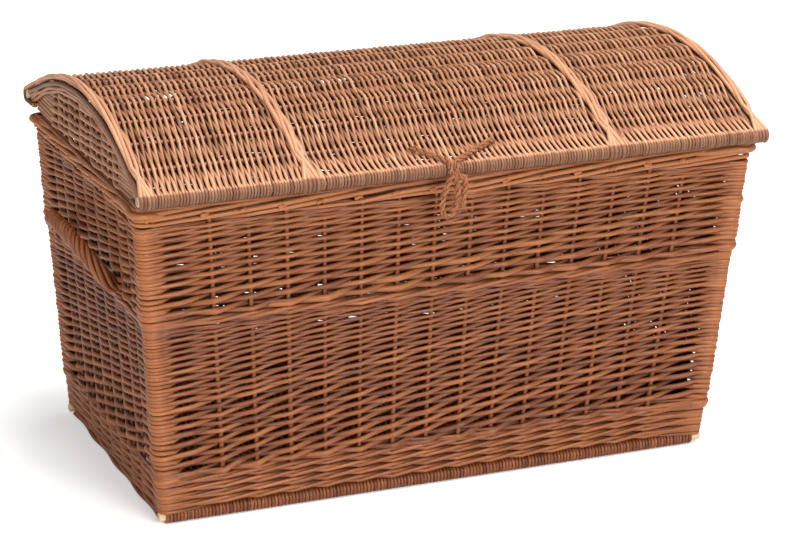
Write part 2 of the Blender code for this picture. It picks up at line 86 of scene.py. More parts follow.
RIB_WIDTH = 0.016
LUNETTE_BOTTOM = BORDER_TOP + 0.0005
HINGE_POSITIONS = (-0.229, 0.0, 0.229)
HINGE_ROD_RADIUS = 0.0025
HINGE_SLOT_HEIGHT = 0.3735
HINGE_NOTCH_RADIUS = 0.020
HINGE_NOTCH_WIDTH = 0.009
HANDLE_HALF_SPAN = 0.089
HANDLE_FOOT_HEIGHT = 0.266
CLOSURE_X = -0.020
CLOSURE_Y = -0.2230
CLOSURE_PIVOT_HEIGHT = 0.4045
ROPE_RADIUS = 0.0032

# Driving dimensions of the rods alone
BASE_TOP = 0.0175
STAKE_RADIUS = 0.0029
PRESS = 0.80  # how far a rod's middle stands off a stake's, where 1 would be touching
NEAR_SPACING = 0.013
HANDLE_RISE = 0.047
HANDLE_REACH = 0.032

SIDES = ("front", "right", "rear", "left")
ALONG = {"front": (1, 0), "right": (0, 1), "rear": (-1, 0), "left": (0, -1)}
OUTWARD = {"front": (0, -1), "right": (1, 0), "rear": (0, 1), "left": (-1, 0)}
UP = np.array((0.0, 0.0, 1.0))
ALONG_X = np.array((1.0, 0.0, 0.0))


# Materials

NOISE_MIDDLE = (0.3, 0.7)
SCAR_NOISE = (0.72, 0.80)
# Crowns from here up get a painted highlight, palest at the top crown
PAINTED_CROWN_HIGHLIGHT = (0.70, 1.0)
# Crowns from -1 up to here get painted shade, darkest behind an upright
PAINTED_HOLLOW_SHADE = (-1.0, 0.45)
# How much darker than a rod's darkest tone its streaks, scars and painted shade are, and how much paler than
# its palest tone the painted highlight is
DARKEST, PAINTED_HIGHLIGHT_GAIN = 0.45, 1.22


def put(tree, target, value):
    """Links a node's output to an input, or gives the input a plain value."""
    if isinstance(value, bpy.types.NodeSocket):
        tree.links.new(value, target)
    else:
        target.default_value = value


def node(tree, kind, operation=None, **inputs):
    """A new node. An input is named by its title, with _ for a space, or by _ and its number."""
    made = tree.nodes.new(kind)
    if operation is not None:
        made.operation = operation
    for name, value in inputs.items():
        put(tree, made.inputs[int(name[1:]) if name[0] == "_" else name.replace("_", " ")], value)
    return made


def mix_colours(tree, factor, first, second):
    made = tree.nodes.new("ShaderNodeMix")
    made.data_type = "RGBA"
    for key, value in ((0, factor), (6, first), (7, second)):
        put(tree, made.inputs[key], value)
    return made.outputs[2]


def remap(tree, value, low, high, start=NOISE_MIDDLE[0], end=NOISE_MIDDLE[1]):
    """Spreads what lies from start to end, by default the middle of a noise, from low to high."""
    span = {"From_Min": start, "From_Max": end, "To_Min": low, "To_Max": high}
    return node(tree, "ShaderNodeMapRange", Value=value, **span).outputs[0]


def colour_steps(tree, value, colours):
    made = node(tree, "ShaderNodeValToRGB", Fac=value)
    ramp = made.color_ramp
    while len(ramp.elements) < len(colours):
        ramp.elements.new(0.5)
    for i, colour in enumerate(colours):
        ramp.elements[i].position = i / (len(colours) - 1)
        ramp.elements[i].color = (*colour, 1.0)
    return made.outputs[0]


def new_finish(name):
    made = bpy.data.materials.new(name)
    made.use_nodes = True
    return made, made.node_tree, made.node_tree.nodes["Principled BSDF"]


def roughen(tree, shader, height, strength, distance):
    raised = node(tree, "ShaderNodeBump", Strength=strength, Distance=distance, Height=height)
    tree.links.new(raised.outputs[0], shader.inputs["Normal"])


def willow(name, colours, streak=0.35, roughness=(0.36, 0.56), bump=0.35):
    """Peeled willow: one tone for each rod, streaks and pores along it, dark bud scars, painted highlights on
    the crowns and painted shade in the hollows.
    """
    made, tree, shader = new_finish(name)

    def attribute(title, output):
        found = tree.nodes.new("ShaderNodeAttribute")
        found.attribute_name = title
        return found.outputs[output]

    fibre, tone, crown = attribute("fibre", "Vector"), attribute("tone", "Fac"), attribute("crown", "Fac")

    def noise(along, across, detail):
        moved = node(tree, "ShaderNodeMapping", Vector=fibre, Scale=(along, across, across))
        return node(tree, "ShaderNodeTexNoise", Vector=moved.outputs[0], Scale=1.0, Detail=detail).outputs[0]

    streaks, drift, scars = noise(45.0, 1500.0, 4.0), noise(14.0, 120.0, 2.0), noise(110.0, 260.0, 1.0)
    dark = (*(DARKEST * c for c in colours[0]), 1.0)
    pale = (*(min(1.0, PAINTED_HIGHLIGHT_GAIN * c) for c in colours[-1]), 1.0)
    shade = node(tree, "ShaderNodeMath", _0=tone, _1=remap(tree, drift, -0.22, 0.22))
    colour = colour_steps(tree, shade.outputs[0], colours)
    # Real streaks and bud scars, then a painted highlight on high crowns and painted shade on low ones
    for share, other in (
        (remap(tree, streaks, 0.0, streak), dark),
        (remap(tree, scars, 0.0, 0.55, *SCAR_NOISE), dark),
        (remap(tree, crown, 0.0, 0.40, *PAINTED_CROWN_HIGHLIGHT), pale),
        (remap(tree, crown, 0.75, 0.0, *PAINTED_HOLLOW_SHADE), dark),
    ):
        colour = mix_colours(tree, share, colour, other)
    tree.links.new(colour, shader.inputs["Base Color"])
    tree.links.new(remap(tree, streaks, *roughness), shader.inputs["Roughness"])
    shader.inputs["Specular IOR Level"].default_value = 0.42
    roughen(tree, shader, streaks, bump, 0.0006)
    return made


def cut_wood(name, pith, sapwood):
    """The cut end of a stick: pale wood with blotches of darker pith."""
    made, tree, shader = new_finish(name)
    place = tree.nodes.new("ShaderNodeTexCoord").outputs["Object"]
    grain = node(tree, "ShaderNodeTexNoise", Vector=place, Scale=900.0, Detail=4.0).outputs[0]
    blotch = node(tree, "ShaderNodeTexNoise", Vector=place, Scale=160.0, Detail=2.0).outputs[0]
    colour = mix_colours(tree, remap(tree, blotch, 0.1, 0.9), (*pith, 1.0), (*sapwood, 1.0))
    colour = mix_colours(tree, remap(tree, grain, 0.0, 0.4), colour, (*pith, 1.0))
    tree.links.new(colour, shader.inputs["Base Color"])
    tree.links.new(remap(tree, grain, 0.6, 0.8), shader.inputs["Roughness"])
    roughen(tree, shader, grain, 0.5, 0.0004)
    return made


WALL_TONES = ((0.096, 0.022, 0.0045), (0.201, 0.054, 0.0125), (0.267, 0.078, 0.0195), (0.338, 0.112, 0.031))
LID_TONES = ((0.212, 0.080, 0.034), (0.367, 0.156, 0.073), (0.458, 0.213, 0.109), (0.563, 0.297, 0.168))
BASE_TONES = ((0.090, 0.021, 0.005), (0.193, 0.050, 0.012), (0.262, 0.076, 0.020), (0.353, 0.114, 0.032))
BARE_TONES = ((0.45, 0.29, 0.15), (0.58, 0.40, 0.22), (0.66, 0.47, 0.27), (0.74, 0.55, 0.33))
ROPE_TONES = ((0.156, 0.048, 0.018), (0.304, 0.105, 0.041), (0.386, 0.144, 0.059), (0.497, 0.211, 0.096))

wall_willow = willow("wall_willow", WALL_TONES)
lid_willow = willow("lid_willow", LID_TONES)
base_willow = willow("base_willow", BASE_TONES)
bare_stick = willow("bare_stick", BARE_TONES)
rope_fibre = willow("rope_fibre", ROPE_TONES, streak=0.6, roughness=(0.75, 0.95), bump=0.8)
pale_cut = cut_wood("pale_cut", (0.42, 0.27, 0.13), (0.74, 0.55, 0.33))
grey_cut = cut_wood("grey_cut", (0.22, 0.15, 0.09), (0.45, 0.33, 0.21))


# Rods


def vary(spread, size=None):
    """A random factor round 1, or an array of them."""
    return random.normal(1.0, spread, size)


def lengths(path):
    """How far along a path each of its points lies."""
    return np.concatenate(((0.0,), np.cumsum(np.linalg.norm(np.diff(path, axis=0), axis=1))))


def units(vectors):
    return vectors / np.linalg.norm(vectors, axis=1)[:, None]


SHARP_ANGLE = math.radians(62)
ROD_TONE, ROD_TONE_SPREAD = 0.5, 0.17
LONGEST_GRAIN = 10.0  # a rod's grain starts anywhere in this many metres of noise
BEND_SHARE = 0.10


class Bundle:
    """Rods that make up one piece."""

    def __init__(self):
        self.coordinates, self.fibre, self.tone, self.crown = [], [], [], []
        self.loops, self.sizes, self.slots = [], [], []
        self.count = 0

    def rod(
        self, points, radii, tone=None, crown=0.0, sides=8, reference=None, closed=False, cap=1, grain=None
    ):
        """A round rod along points; returns where its grain ends.

        The reference is a direction that the rod never runs along, or None to follow its turns.
        """
        points = np.asarray(points, float)
        total = len(points)
        radii = np.broadcast_to(np.asarray(radii, float), total)
        tone = random.normal(ROD_TONE, ROD_TONE_SPREAD) if tone is None else tone
        if closed:
            tangents = np.roll(points, -1, 0) - np.roll(points, 1, 0)
        else:
            tangents = np.gradient(points, axis=0)
        tangents = units(tangents)
        first = follow_turns(tangents, closed) if reference is None else units(np.cross(tangents, reference))
        second = np.cross(first, tangents)
        angles = 2.0 * math.pi * np.arange(sides) / sides
        across = radii[:, None] * np.cos(angles)
        upward = radii[:, None] * np.sin(angles)
        rings = points[:, None] + across[..., None] * first[:, None]
        rings = rings + upward[..., None] * second[:, None]
        start = LONGEST_GRAIN * random.random() if grain is None else grain
        travel = lengths(points) + start
        fibre = np.stack((np.repeat(travel[:, None], sides, 1), across, upward), axis=-1)
        self.coordinates.append(rings.reshape(-1, 3))
        self.fibre.append(fibre.reshape(-1, 3))
        self.tone.append(np.full(total * sides, tone))
        # The crown says how far a rod stands out, from -1 behind an upright to 1 in front of it; the finish
        # paints a highlight on high crowns and shade on low ones
        self.crown.append(np.repeat(np.broadcast_to(np.asarray(crown, float), total), sides))
        self.skin(total, sides, closed, cap)
        return travel[-1]

    def skin(self, total, sides, closed, cap):
        ring = np.arange(total if closed else total - 1)[:, None]
        spoke = np.arange(sides)[None, :]
        here = ring * sides + spoke
        beside = ring * sides + (spoke + 1) % sides
        later = (ring + 1) % total
        across = later * sides + (spoke + 1) % sides
        quads = np.stack((here, later * sides + spoke, across, beside), axis=-1)
        self.loops.append(quads.reshape(-1) + self.count)
        self.sizes.append(np.full(quads.shape[0] * sides, 4))
        self.slots.append(np.zeros(quads.shape[0] * sides, int))
        if not closed:
            start = np.arange(sides)
            self.loops.append(start + self.count)
            self.loops.append(start[::-1] + (total - 1) * sides + self.count)
            self.sizes.append(np.array((sides, sides)))
            self.slots.append(np.array((cap, cap)))
        self.count += total * sides

    def piece(self, name, body, finish, *stands_for, cut=pale_cut, slot=None):
        """Makes the object, which rides on a body and stands for CAD nodes; its rods' ends show the cut."""
        mesh = bpy.data.meshes.new(name)
        sizes = np.concatenate(self.sizes)
        loops = np.concatenate(self.loops)
        mesh.vertices.add(self.count)
        mesh.vertices.foreach_set("co", np.concatenate(self.coordinates).astype(np.float32).ravel())
        mesh.loops.add(len(loops))
        mesh.loops.foreach_set("vertex_index", loops.astype(np.int32))
        starts = np.concatenate(((0,), np.cumsum(sizes)[:-1]))
        mesh.polygons.add(len(sizes))
        mesh.polygons.foreach_set("loop_start", starts.astype(np.int32))
        mesh.polygons.foreach_set("material_index", np.concatenate(self.slots).astype(np.int32))
        mesh.update(calc_edges=True)
        for title, kind, values, key in (
            ("fibre", "FLOAT_VECTOR", self.fibre, "vector"),
            ("tone", "FLOAT", self.tone, "value"),
            ("crown", "FLOAT", self.crown, "value"),
        ):
            layer = mesh.attributes.new(title, kind, "POINT")
            layer.data.foreach_set(key, np.concatenate(values).astype(np.float32).ravel())
        mesh.materials.append(finish)
        mesh.materials.append(cut)
        mesh.shade_smooth()
        mesh.set_sharp_from_angle(angle=SHARP_ANGLE)
        made = bpy.data.objects.new(name, mesh)
        bpy.context.scene.collection.objects.link(made)
        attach(made, body)
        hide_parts(*stands_for)


def follow_turns(tangents, closed):
    """Normals that turn no more than the path does; on a closed path they meet again at the seam."""
    start = UP if abs(tangents[0][2]) < 0.9 else ALONG_X
    normal = start - tangents[0] * start.dot(tangents[0])
    normals = []
    for tangent in tangents:
        normal = normal - tangent * normal.dot(tangent)
        normal = normal / np.linalg.norm(normal)
        normals.append(normal)
    normals = np.array(normals)
    if closed:
        back = normals[-1] - tangents[0] * normals[-1].dot(tangents[0])
        side = np.cross(tangents[0], normals[0])
        slip = math.atan2(back.dot(side), back.dot(normals[0]))
        undo = -slip * np.arange(len(tangents)) / len(tangents)
        sides = np.cross(tangents, normals)
        normals = normals * np.cos(undo)[:, None] + sides * np.sin(undo)[:, None]
    return normals


def ease(share):
    """From 0 to 1 nearly straight, with a short bend at each end, as a rod runs between two uprights."""
    bend = BEND_SHARE
    start = share**2 / (2.0 * bend * (1.0 - bend))
    middle = (share - bend / 2.0) / (1.0 - bend)
    end = 1.0 - (1.0 - share) ** 2 / (2.0 * bend * (1.0 - bend))
    return np.where(share < bend, start, np.where(share > 1.0 - bend, end, middle))


# Walls


def half_sizes(z):
    share = z / RIM_HEIGHT
    half_length = FLOOR_HALF_LENGTH + (RIM_HALF_LENGTH - FLOOR_HALF_LENGTH) * share
    half_depth = FLOOR_HALF_DEPTH + (RIM_HALF_DEPTH - FLOOR_HALF_DEPTH) * share
    return half_length, half_depth


def stake_shares(side):
    long_wall = side in ("front", "rear")
    count = FRONT_STAKES if long_wall else END_STAKES
    reach = FRONT_STAKE_REACH if long_wall else END_STAKE_REACH
    return [reach * (2.0 * i / (count - 1) - 1.0) for i in range(count)]


# Every upright in order round the trunk: its wall, and its share of the wall's half-length. A corner post has
# None, and the stakes that stand close to the posts are "near" and "far", from the wall's start.
UPRIGHTS = [(side, share) for side in SIDES for share in [None, "near"] + stake_shares(side) + ["far"]]
ROUND = len(UPRIGHTS)


def count_places():
    """A number for each upright; the three at a corner share one, because rods don't climb round a corner."""
    numbers, last = [], -1
    for _, share in UPRIGHTS:
        if share not in (None, "near"):
            last += 1
        numbers.append(last)
    return numbers, last + 1


PLACE_NUMBERS, PLACES = count_places()
SEAM = 26  # where the rods that run all the way round start and end, in the rear wall


def place_of(k):
    return PLACE_NUMBERS[k % ROUND] + PLACES * (k // ROUND)


def uprights_at(first, last):
    """The uprights whose place numbers run from first to last."""
    start = (first // PLACES - 1) * ROUND
    stop = start + ROUND * (3 + (last - first) // PLACES)
    return [k for k in range(start, stop) if first <= place_of(k) <= last]


def wall_of(k):
    return UPRIGHTS[k % ROUND][0]


ALL_ROUND = uprights_at(SEAM, SEAM + PLACES)


def new_walls():
    return {side: Bundle() for side in SIDES}


def wall_pieces(pieces, name, stands_for=None):
    """Makes a piece of each wall's rods; a band stands for one CAD node all the way round."""
    for side, bundle in pieces.items():
        bundle.piece(f"{name}_{side}", "trunk", wall_willow, stands_for or f"{side}_{name}")


def is_post(k):
    return UPRIGHTS[k % ROUND][1] is None


def by_corner(k):
    return UPRIGHTS[k % ROUND][1] in ("far", None, "near")


def wall_extent(side, z):
    """Outer half-length along a wall, and the outer face's distance from the middle."""
    half_x, half_y = half_sizes(z)
    return (half_x, half_y) if side in ("front", "rear") else (half_y, half_x)


def wall_point(side, along, offset, z):
    """A point on a wall's middle surface, moved outward by offset."""
    _, face = wall_extent(side, z)
    out = face - WALL_THICKNESS / 2 + offset
    x = ALONG[side][0] * along + OUTWARD[side][0] * out
    y = ALONG[side][1] * along + OUTWARD[side][1] * out
    return np.stack(np.broadcast_arrays(x, y, z), axis=-1)


def upright_along(side, k, z, radius, inside):
    """Where upright k stands along a wall."""
    half, _ = wall_extent(side, z)
    share = UPRIGHTS[k % ROUND][1]
    if share == "near":
        return -(half - POST_INSET - NEAR_SPACING)
    if share == "far":
        return half - POST_INSET - NEAR_SPACING
    if share is not None:
        return (half - WALL_THICKNESS / 2) * share
    sign = -1.0 if wall_of(k) == side else 1.0
    short = (POST_RADIUS + radius) / math.sqrt(2.0) if inside else 0.0
    return sign * (half - POST_INSET - short)


def post_offset(radius, inside):
    inset = POST_INSET - WALL_THICKNESS / 2
    reach = POST_RADIUS + radius
    return -inset - reach / math.sqrt(2.0) if inside else reach - inset


def corner_arc(k, z, radius, low, high):
    """Points round the outside of corner post k, between two turns in quarter circles."""
    side, before = wall_of(k), wall_of(k - 1)
    half_x, half_y = half_sizes(z)
    into, out = np.array(OUTWARD[before]), np.array(OUTWARD[side])
    centre = (into + out) * np.array((half_x - POST_INSET, half_y - POST_INSET))
    points = []
    for share in np.linspace(low, high, 4):
        turn = math.pi / 2 * share
        spot = centre + (POST_RADIUS + radius) * (into * math.cos(turn) + out * math.sin(turn))
        points.append((spot[0], spot[1], z))
    return np.array(points)


CORNER_DIVE = 0.24
CORNER_CROSSING = 0.36
LEAST_STEP = 1e-5
BAY_SHARES = np.array((0.0, 0.05, 0.10, 0.20, 0.36, 0.5, 0.64, 0.80, 0.90, 0.95, 1.0))


def corner_bay(shares, corner, stake):
    """Offsets from a corner or an edge, outside which every rod runs, to the next stake or stick.

    A rod that comes out in front of the stake dives in first, so that it crosses its neighbours on the way.
    """
    dived = -stake if stake > 0.0 else corner
    dive = ease(np.minimum(1.0, shares / CORNER_DIVE))
    crossing = ease(np.clip((shares - CORNER_CROSSING) / (1.0 - CORNER_CROSSING), 0.0, 1.0))
    return corner + (dived - corner) * dive + (stake - dived) * crossing


def wall_rod(pieces, first, heights, offsets, radii, tone, lifts=None):
    """A rod from upright to upright, cut at the corners into the piece of each wall.

    The offsets are outward from the wall's middle: positive in front of the upright, negative behind it. The
    lifts say how much steeper the front strokes rise than the back ones after each upright.
    """
    shares = BAY_SHARES
    points, widths, crowns = [], [], []
    grain = LONGEST_GRAIN * random.random()

    def close(side):
        nonlocal grain
        if len(points) > 0:
            path = np.concatenate(points)
            keep = np.concatenate(((True,), np.linalg.norm(np.diff(path, axis=0), axis=1) > LEAST_STEP))
            width, crown = np.concatenate(widths)[keep], np.concatenate(crowns)[keep]
            grain = pieces[side].rod(path[keep], width, tone, crown, 8, UP, cap=0, grain=grain)
        points.clear()
        widths.clear()
        crowns.clear()

    def extend(path, width, crown):
        points.append(path)
        widths.append(np.broadcast_to(width, len(path)))
        crowns.append(np.broadcast_to(crown, len(path)))

    for step in range(len(heights) - 1):
        k = first + step
        side = wall_of(k)
        if is_post(k) and step > 0 and offsets[step] > 0.0:
            extend(corner_arc(k, heights[step], radii[step], 0.48, 1.0), radii[step], 1.0)
        swing = 0.0 if lifts is None else np.sign(offsets[step]) * lifts[step]
        climb = heights[step + 1] - heights[step]
        z = heights[step] + climb * (shares + swing * np.sin(math.pi * shares) / math.pi)
        ends = []
        for end, post_k in ((step, k), (step + 1, k + 1)):
            inside = offsets[end] < 0.0
            place = upright_along(side, post_k, z, radii[end], inside)
            offset = post_offset(radii[end], inside) if is_post(post_k) else offsets[end]
            ends.append((place, offset))
        along = ends[0][0] + (ends[1][0] - ends[0][0]) * shares
        if lifts is not None and UPRIGHTS[k % ROUND][1] == "near":
            offset = corner_bay(shares, ends[0][1], ends[1][1])
        elif lifts is not None and UPRIGHTS[(k + 1) % ROUND][1] == "far":
            offset = corner_bay(1.0 - shares, ends[1][1], ends[0][1])
        else:
            offset = ends[0][1] + (ends[1][1] - ends[0][1]) * ease(shares)
        width = radii[step] + (radii[step + 1] - radii[step]) * shares
        reach = STAKE_RADIUS + width
        extend(wall_point(side, along, offset, z), width, np.clip(offset / reach, -1.0, 1.0))
        if is_post(k + 1):
            if offsets[step + 1] > 0.0 and step + 2 < len(heights):
                extend(corner_arc(k + 1, heights[step + 1], radii[step + 1], 0.0, 0.52), radii[step + 1], 1.0)
            close(side)
    close(wall_of(first + len(heights) - 2))


def row_heights(bottom, top, low_pitch, high_pitch, power):
    """Heights of the rows of a randed band, whose pitch shrinks as the rods taper."""
    heights, pitches = [], []
    z = bottom + low_pitch / 2
    while True:
        share = (z - bottom) / (top - bottom)
        pitch = low_pitch + (high_pitch - low_pitch) * share**power
        if z > top - pitch / 2:
            break
        heights.append(z)
        pitches.append(pitch)
        z += pitch
    spare = (top - pitches[-1] / 2 - heights[-1]) / (len(heights) - 1)
    return np.array(heights) + spare * np.arange(len(heights)), np.array(pitches)


RAND_WANDER = 0.16  # how far rows wander up and down, in pitches
RAND_TONE_SPREAD = 0.18
PAST_TOP_CLIMB = 0.4
LOW_PACKING, LOW_PACKING_RADIUS = np.array((0.0012, 0.0049)), 0.0023
HIGH_PACKING, HIGH_PACKING_RADIUS = np.array((-0.0046, -0.0018, 0.0006)), 0.0015
# How hard rods press on the stakes, and harder still in a tight wall, for rows of these pitches
RAND_PITCHES = (0.0035, 0.0060)
RAND_PRESS = (0.74, 1.0)
TIGHT_PRESS = (0.85, 0.70)
# A rod's radius is a least part and a share of its row's pitch
TIGHT_RADII = (0.0007, 0.53)
RAND_RADII = {"front": (0.0009, 0.35), "right": TIGHT_RADII, "rear": TIGHT_RADII, "left": (0.0010, 0.39)}


def french_rand(name, bottom, top, low_pitch, high_pitch, power, lifts, stout_by, tone_mean):
    """A band of rods, one from every upright, that climb a row at each, in front of one, behind the next."""
    pieces = new_walls()
    rows, pitches = row_heights(bottom, top, low_pitch, high_pitch, power)
    count = len(rows)
    last = count - 1 + count % 2
    wander = smooth_field(count, PLACES) * RAND_WANDER
    for start in range(PLACES):
        stout = stout_by * vary(0.07)
        tone = random.normal(tone_mean, RAND_TONE_SPREAD)
        heights, offsets, radii = [], [], []
        uprights = uprights_at(start - 1, start + last)
        for k in uprights:
            level = place_of(k) - start
            row = min(max(level, 0), count - 1)
            pitch = pitches[row]
            base, grow = RAND_RADII[wall_of(k)]
            radius = (base + grow * pitch) * stout * vary(0.02)
            z = rows[row] + PAST_TOP_CLIMB * pitch * (level - row)
            z += pitch * (wander[row, place_of(k) % PLACES] + random.normal(0.0, 0.07))
            front = level % 2 == 0
            press = PRESS * np.interp(pitch, RAND_PITCHES, RAND_PRESS)
            if RAND_RADII[wall_of(k)] is TIGHT_RADII:
                press = press * np.interp(pitch, RAND_PITCHES, TIGHT_PRESS)
            reach = press * (STAKE_RADIUS + radius) + random.normal(0.0, 0.0002)
            heights.append(z)
            offsets.append(reach if front or by_corner(k) else -reach)
            radii.append(radius)
        steeper = [front_lift(k, lifts) for k in uprights]
        wall_rod(pieces, uprights[0], heights, offsets, radii, tone, steeper)
    packing(pieces, bottom + LOW_PACKING, LOW_PACKING_RADIUS)
    packing(pieces, top + HIGH_PACKING, HIGH_PACKING_RADIUS)
    wall_pieces(pieces, name, name)


def packing(pieces, heights, radius, inside=False):
    """Level rods that fill the corners of the bays where a band starts or ends, or that line a wale."""
    for row, height in enumerate(heights):
        tone = random.normal(0.45, 0.14)
        levels = height + random.normal(0.0, 0.0003, len(ALL_ROUND))
        widths = radius * vary(0.04, len(ALL_ROUND))
        sides = [1 if by_corner(k) or (not inside and (place_of(k) + row) % 2) else -1 for k in ALL_ROUND]
        offsets = PRESS * (STAKE_RADIUS + widths) * sides
        wall_rod(pieces, ALL_ROUND[0], levels, offsets, widths, tone)


def front_lift(k, lifts):
    """How much steeper the front strokes rise than the back ones, from a long wall's left to its right."""
    share = (place_of(k) % PLACES) / (FRONT_STAKES + 1)
    return np.interp(share, (0.0, 0.35, 0.85), (lifts[0], lifts[0], lifts[1]))


def smooth_field(rows, columns):
    """A smooth random field that closes round the trunk, between about -1 and 1."""
    field = random.normal(0.0, 1.0, (rows, columns))
    for _ in range(3):
        field = (field + np.roll(field, 1, 1) + np.roll(field, -1, 1)) / 3.0
        field[1:-1] = (field[:-2] + field[1:-1] + field[2:]) / 3.0
    return field / max(1e-6, field.std())


def wale(pieces, bottom, rows, radius, step):
    """Rows of three rods, each in front of two uprights and behind one, rising as they go."""
    for row in range(rows):
        middle = bottom + step * (2 * row + 1)
        for strand in range(3):
            tone = random.normal(0.55, 0.14)
            heights, offsets, radii = [], [], []
            for k in ALL_ROUND:
                phase = (place_of(k) + strand + row) % 3
                width = radius * vary(0.04)
                rise = (-0.5, 0.5, 0.0)[phase] * step
                heights.append(middle + rise + random.normal(0.0, 0.05) * step)
                sign = -1.0 if phase == 2 and not by_corner(k) else 1.0
                offsets.append(PRESS * (STAKE_RADIUS + width) * sign)
                radii.append(width)
            wall_rod(pieces, ALL_ROUND[0], heights, offsets, radii, tone)
    packing(pieces, bottom + step * (np.arange(2 * rows) + 0.45), 0.9 * radius, True)


# The tip of a stake as it bends over into the border: heights, steps back along the wall, and offsets outward
KNOB_HEIGHTS = np.array((0.3560, 0.3690, 0.3758, 0.3790, 0.3790, 0.3766))
KNOB_BACK = np.array((0.0, 0.0, 0.0010, 0.0040, 0.0080, 0.0120))
KNOB_OUT = np.array((-0.0025, -0.0020, 0.0020, 0.0066, 0.0094, 0.0082))
# A border rod at each of the uprights it passes, from where it ends
BORDER_HEIGHTS = (0.3678, 0.3706, 0.3740, 0.3776, 0.3812, 0.3846, 0.3870)
BORDER_OFFSETS = (-0.0030, 0.0046, 0.0058, 0.0062, 0.0060, 0.0048, 0.0015)
BORDER_RADII = (0.0020, 0.0024, 0.0027, 0.0029, 0.0031, 0.0033, 0.0033)
# The level rods inside the border: height, offset outward and radius
BORDER_CORE = (
    (0.3882, 0.0034, 0.0024), (0.3894, -0.0006, 0.0026), (0.3876, -0.0048, 0.0028),
    (0.3830, -0.0040, 0.0033), (0.3772, -0.0046, 0.0033), (0.3715, -0.0030, 0.0033),
)
# The rods on the rear border, which dip under the hinge loops
REAR_RAIL = ((0.3945, 0.0005), (0.3935, -0.0045))
REAR_RAIL_DIP = 0.0065


def wall_stake(pieces, k):
    """An upright, and its tip that bends over into the border; a stake at a wall's far end has no tip."""
    side, share = UPRIGHTS[k]
    tone = random.normal(0.5, 0.1)
    stout = vary(0.05)
    z = np.linspace(BASE_TOP, UPPER_RAND_TOP + 0.004, 16)
    along = upright_along(side, k, z, 0.0, False)
    width = np.linspace(1.05, 0.9, len(z)) * STAKE_RADIUS * stout
    # A low crown paints shade on the stakes, which stand back between the rods, and more shade on the end
    # walls' stakes
    crown = 0.15 if side in ("front", "rear") else -0.5
    pieces[side].rod(wall_point(side, along, 0.0, z), width, tone, crown, 8, np.array((*ALONG[side], 0.0)))
    if share != "far":
        along = upright_along(side, k, KNOB_HEIGHTS, 0.0, False) - KNOB_BACK
        knob = rounded(wall_point(side, along, KNOB_OUT, KNOB_HEIGHTS), 1)
        # The tip's paler tone and top crown paint a highlight where it bulges out over the border
        pieces[side].rod(knob, 0.0025 * stout, tone + 0.4, 1.0, 8)


def stakes_and_border():
    """The uprights of each wall, and the border, for which they bend over at the top and run along it."""
    pieces = new_walls()
    for k in range(ROUND):
        if not is_post(k):
            wall_stake(pieces, k)
    for place in range(0, PLACES, 2):
        tone = random.normal(1.0, 0.16)
        stout = vary(0.05)
        uprights = uprights_at(place - len(BORDER_HEIGHTS) + 1, place)
        phases = [place_of(k) - place + len(BORDER_HEIGHTS) - 1 for k in uprights]
        heights = [BORDER_HEIGHTS[p] + random.normal(0.0, 0.0007) for p in phases]
        offsets = [BORDER_OFFSETS[p] + random.normal(0.0, 0.0005) for p in phases]
        wall_rod(pieces, uprights[0], heights, offsets, [stout * BORDER_RADII[p] for p in phases], tone)
    for height, offset, width in BORDER_CORE:
        heights = height + random.normal(0.0, 0.0005, len(ALL_ROUND))
        offsets = offset + random.normal(0.0, 0.0005, len(ALL_ROUND))
        widths = np.full(len(ALL_ROUND), width)
        wall_rod(pieces, ALL_ROUND[0], heights, offsets, widths, random.normal(0.85, 0.15))
    along = np.linspace(-RIM_HALF_LENGTH + 0.012, RIM_HALF_LENGTH - 0.012, 160)
    room = np.min(np.abs(along[:, None] + np.array(HINGE_POSITIONS)), axis=1)
    for height, offset in REAR_RAIL:
        z = height - REAR_RAIL_DIP * np.clip((0.022 - room) / 0.012, 0.0, 1.0)
        pieces["rear"].rod(wall_point("rear", along, offset, z), 0.0034, random.normal(0.5, 0.1), 0.5, 8, UP)
    for k in range(ROUND):
        if is_post(k):
            border_elbow(pieces, k)
    wall_pieces(pieces, "stakes_and_border")


ELBOW_RADIUS = 0.0040
ELBOW_HEIGHTS = (0.3846, 0.3840, 0.3825)  # before, at and after the corner


def border_elbow(pieces, k):
    """A stout rod end that bends round corner k outside the border and tucks in behind it."""
    side, before = wall_of(k), wall_of(k - 1)
    low, high, last = ELBOW_HEIGHTS
    half, _ = wall_extent(before, RIM_HEIGHT)
    along = half - np.array((0.075, 0.055, 0.035, 0.020))
    near = wall_point(before, along, np.array((0.0020, 0.0062, 0.0072, 0.0076)), low)
    near[:, 2] -= np.array((0.0030, 0.0012, 0.0, 0.0))
    bend = corner_arc(k, high, ELBOW_RADIUS + 0.0046, 0.08, 0.92)
    half, _ = wall_extent(side, RIM_HEIGHT)
    along = np.array((0.020, 0.030, 0.040)) - half
    far = wall_point(side, along, np.array((0.0070, 0.0040, -0.0010)), last)
    far[:, 2] -= np.array((0.0, 0.0020, 0.0050))
    path = rounded(resample(np.concatenate((near, bend, far)), 0.0035), 2)
    width = ELBOW_RADIUS * np.interp(np.linspace(0.0, 1.0, len(path)), (0.0, 0.3, 1.0), (0.75, 1.0, 1.0))
    pieces[side].rod(path, width, 0.9, 0.9, 9)


# A rand's bottom and top, its pitch at each and how that changes, the lifts of its front strokes at a long
# wall's left and right, how stout its rods are and their mean tone
RANDS = {
    "lower_rand": (BASE_WALE_TOP, LOWER_RAND_TOP, 0.0066, 0.0032, 1.0, (0.80, -0.05), 1.0, 0.49),
    "upper_rand": (MID_WALE_TOP, UPPER_RAND_TOP, 0.0068, 0.0032, 0.75, (-0.25, -0.40), 1.06, 0.66),
}
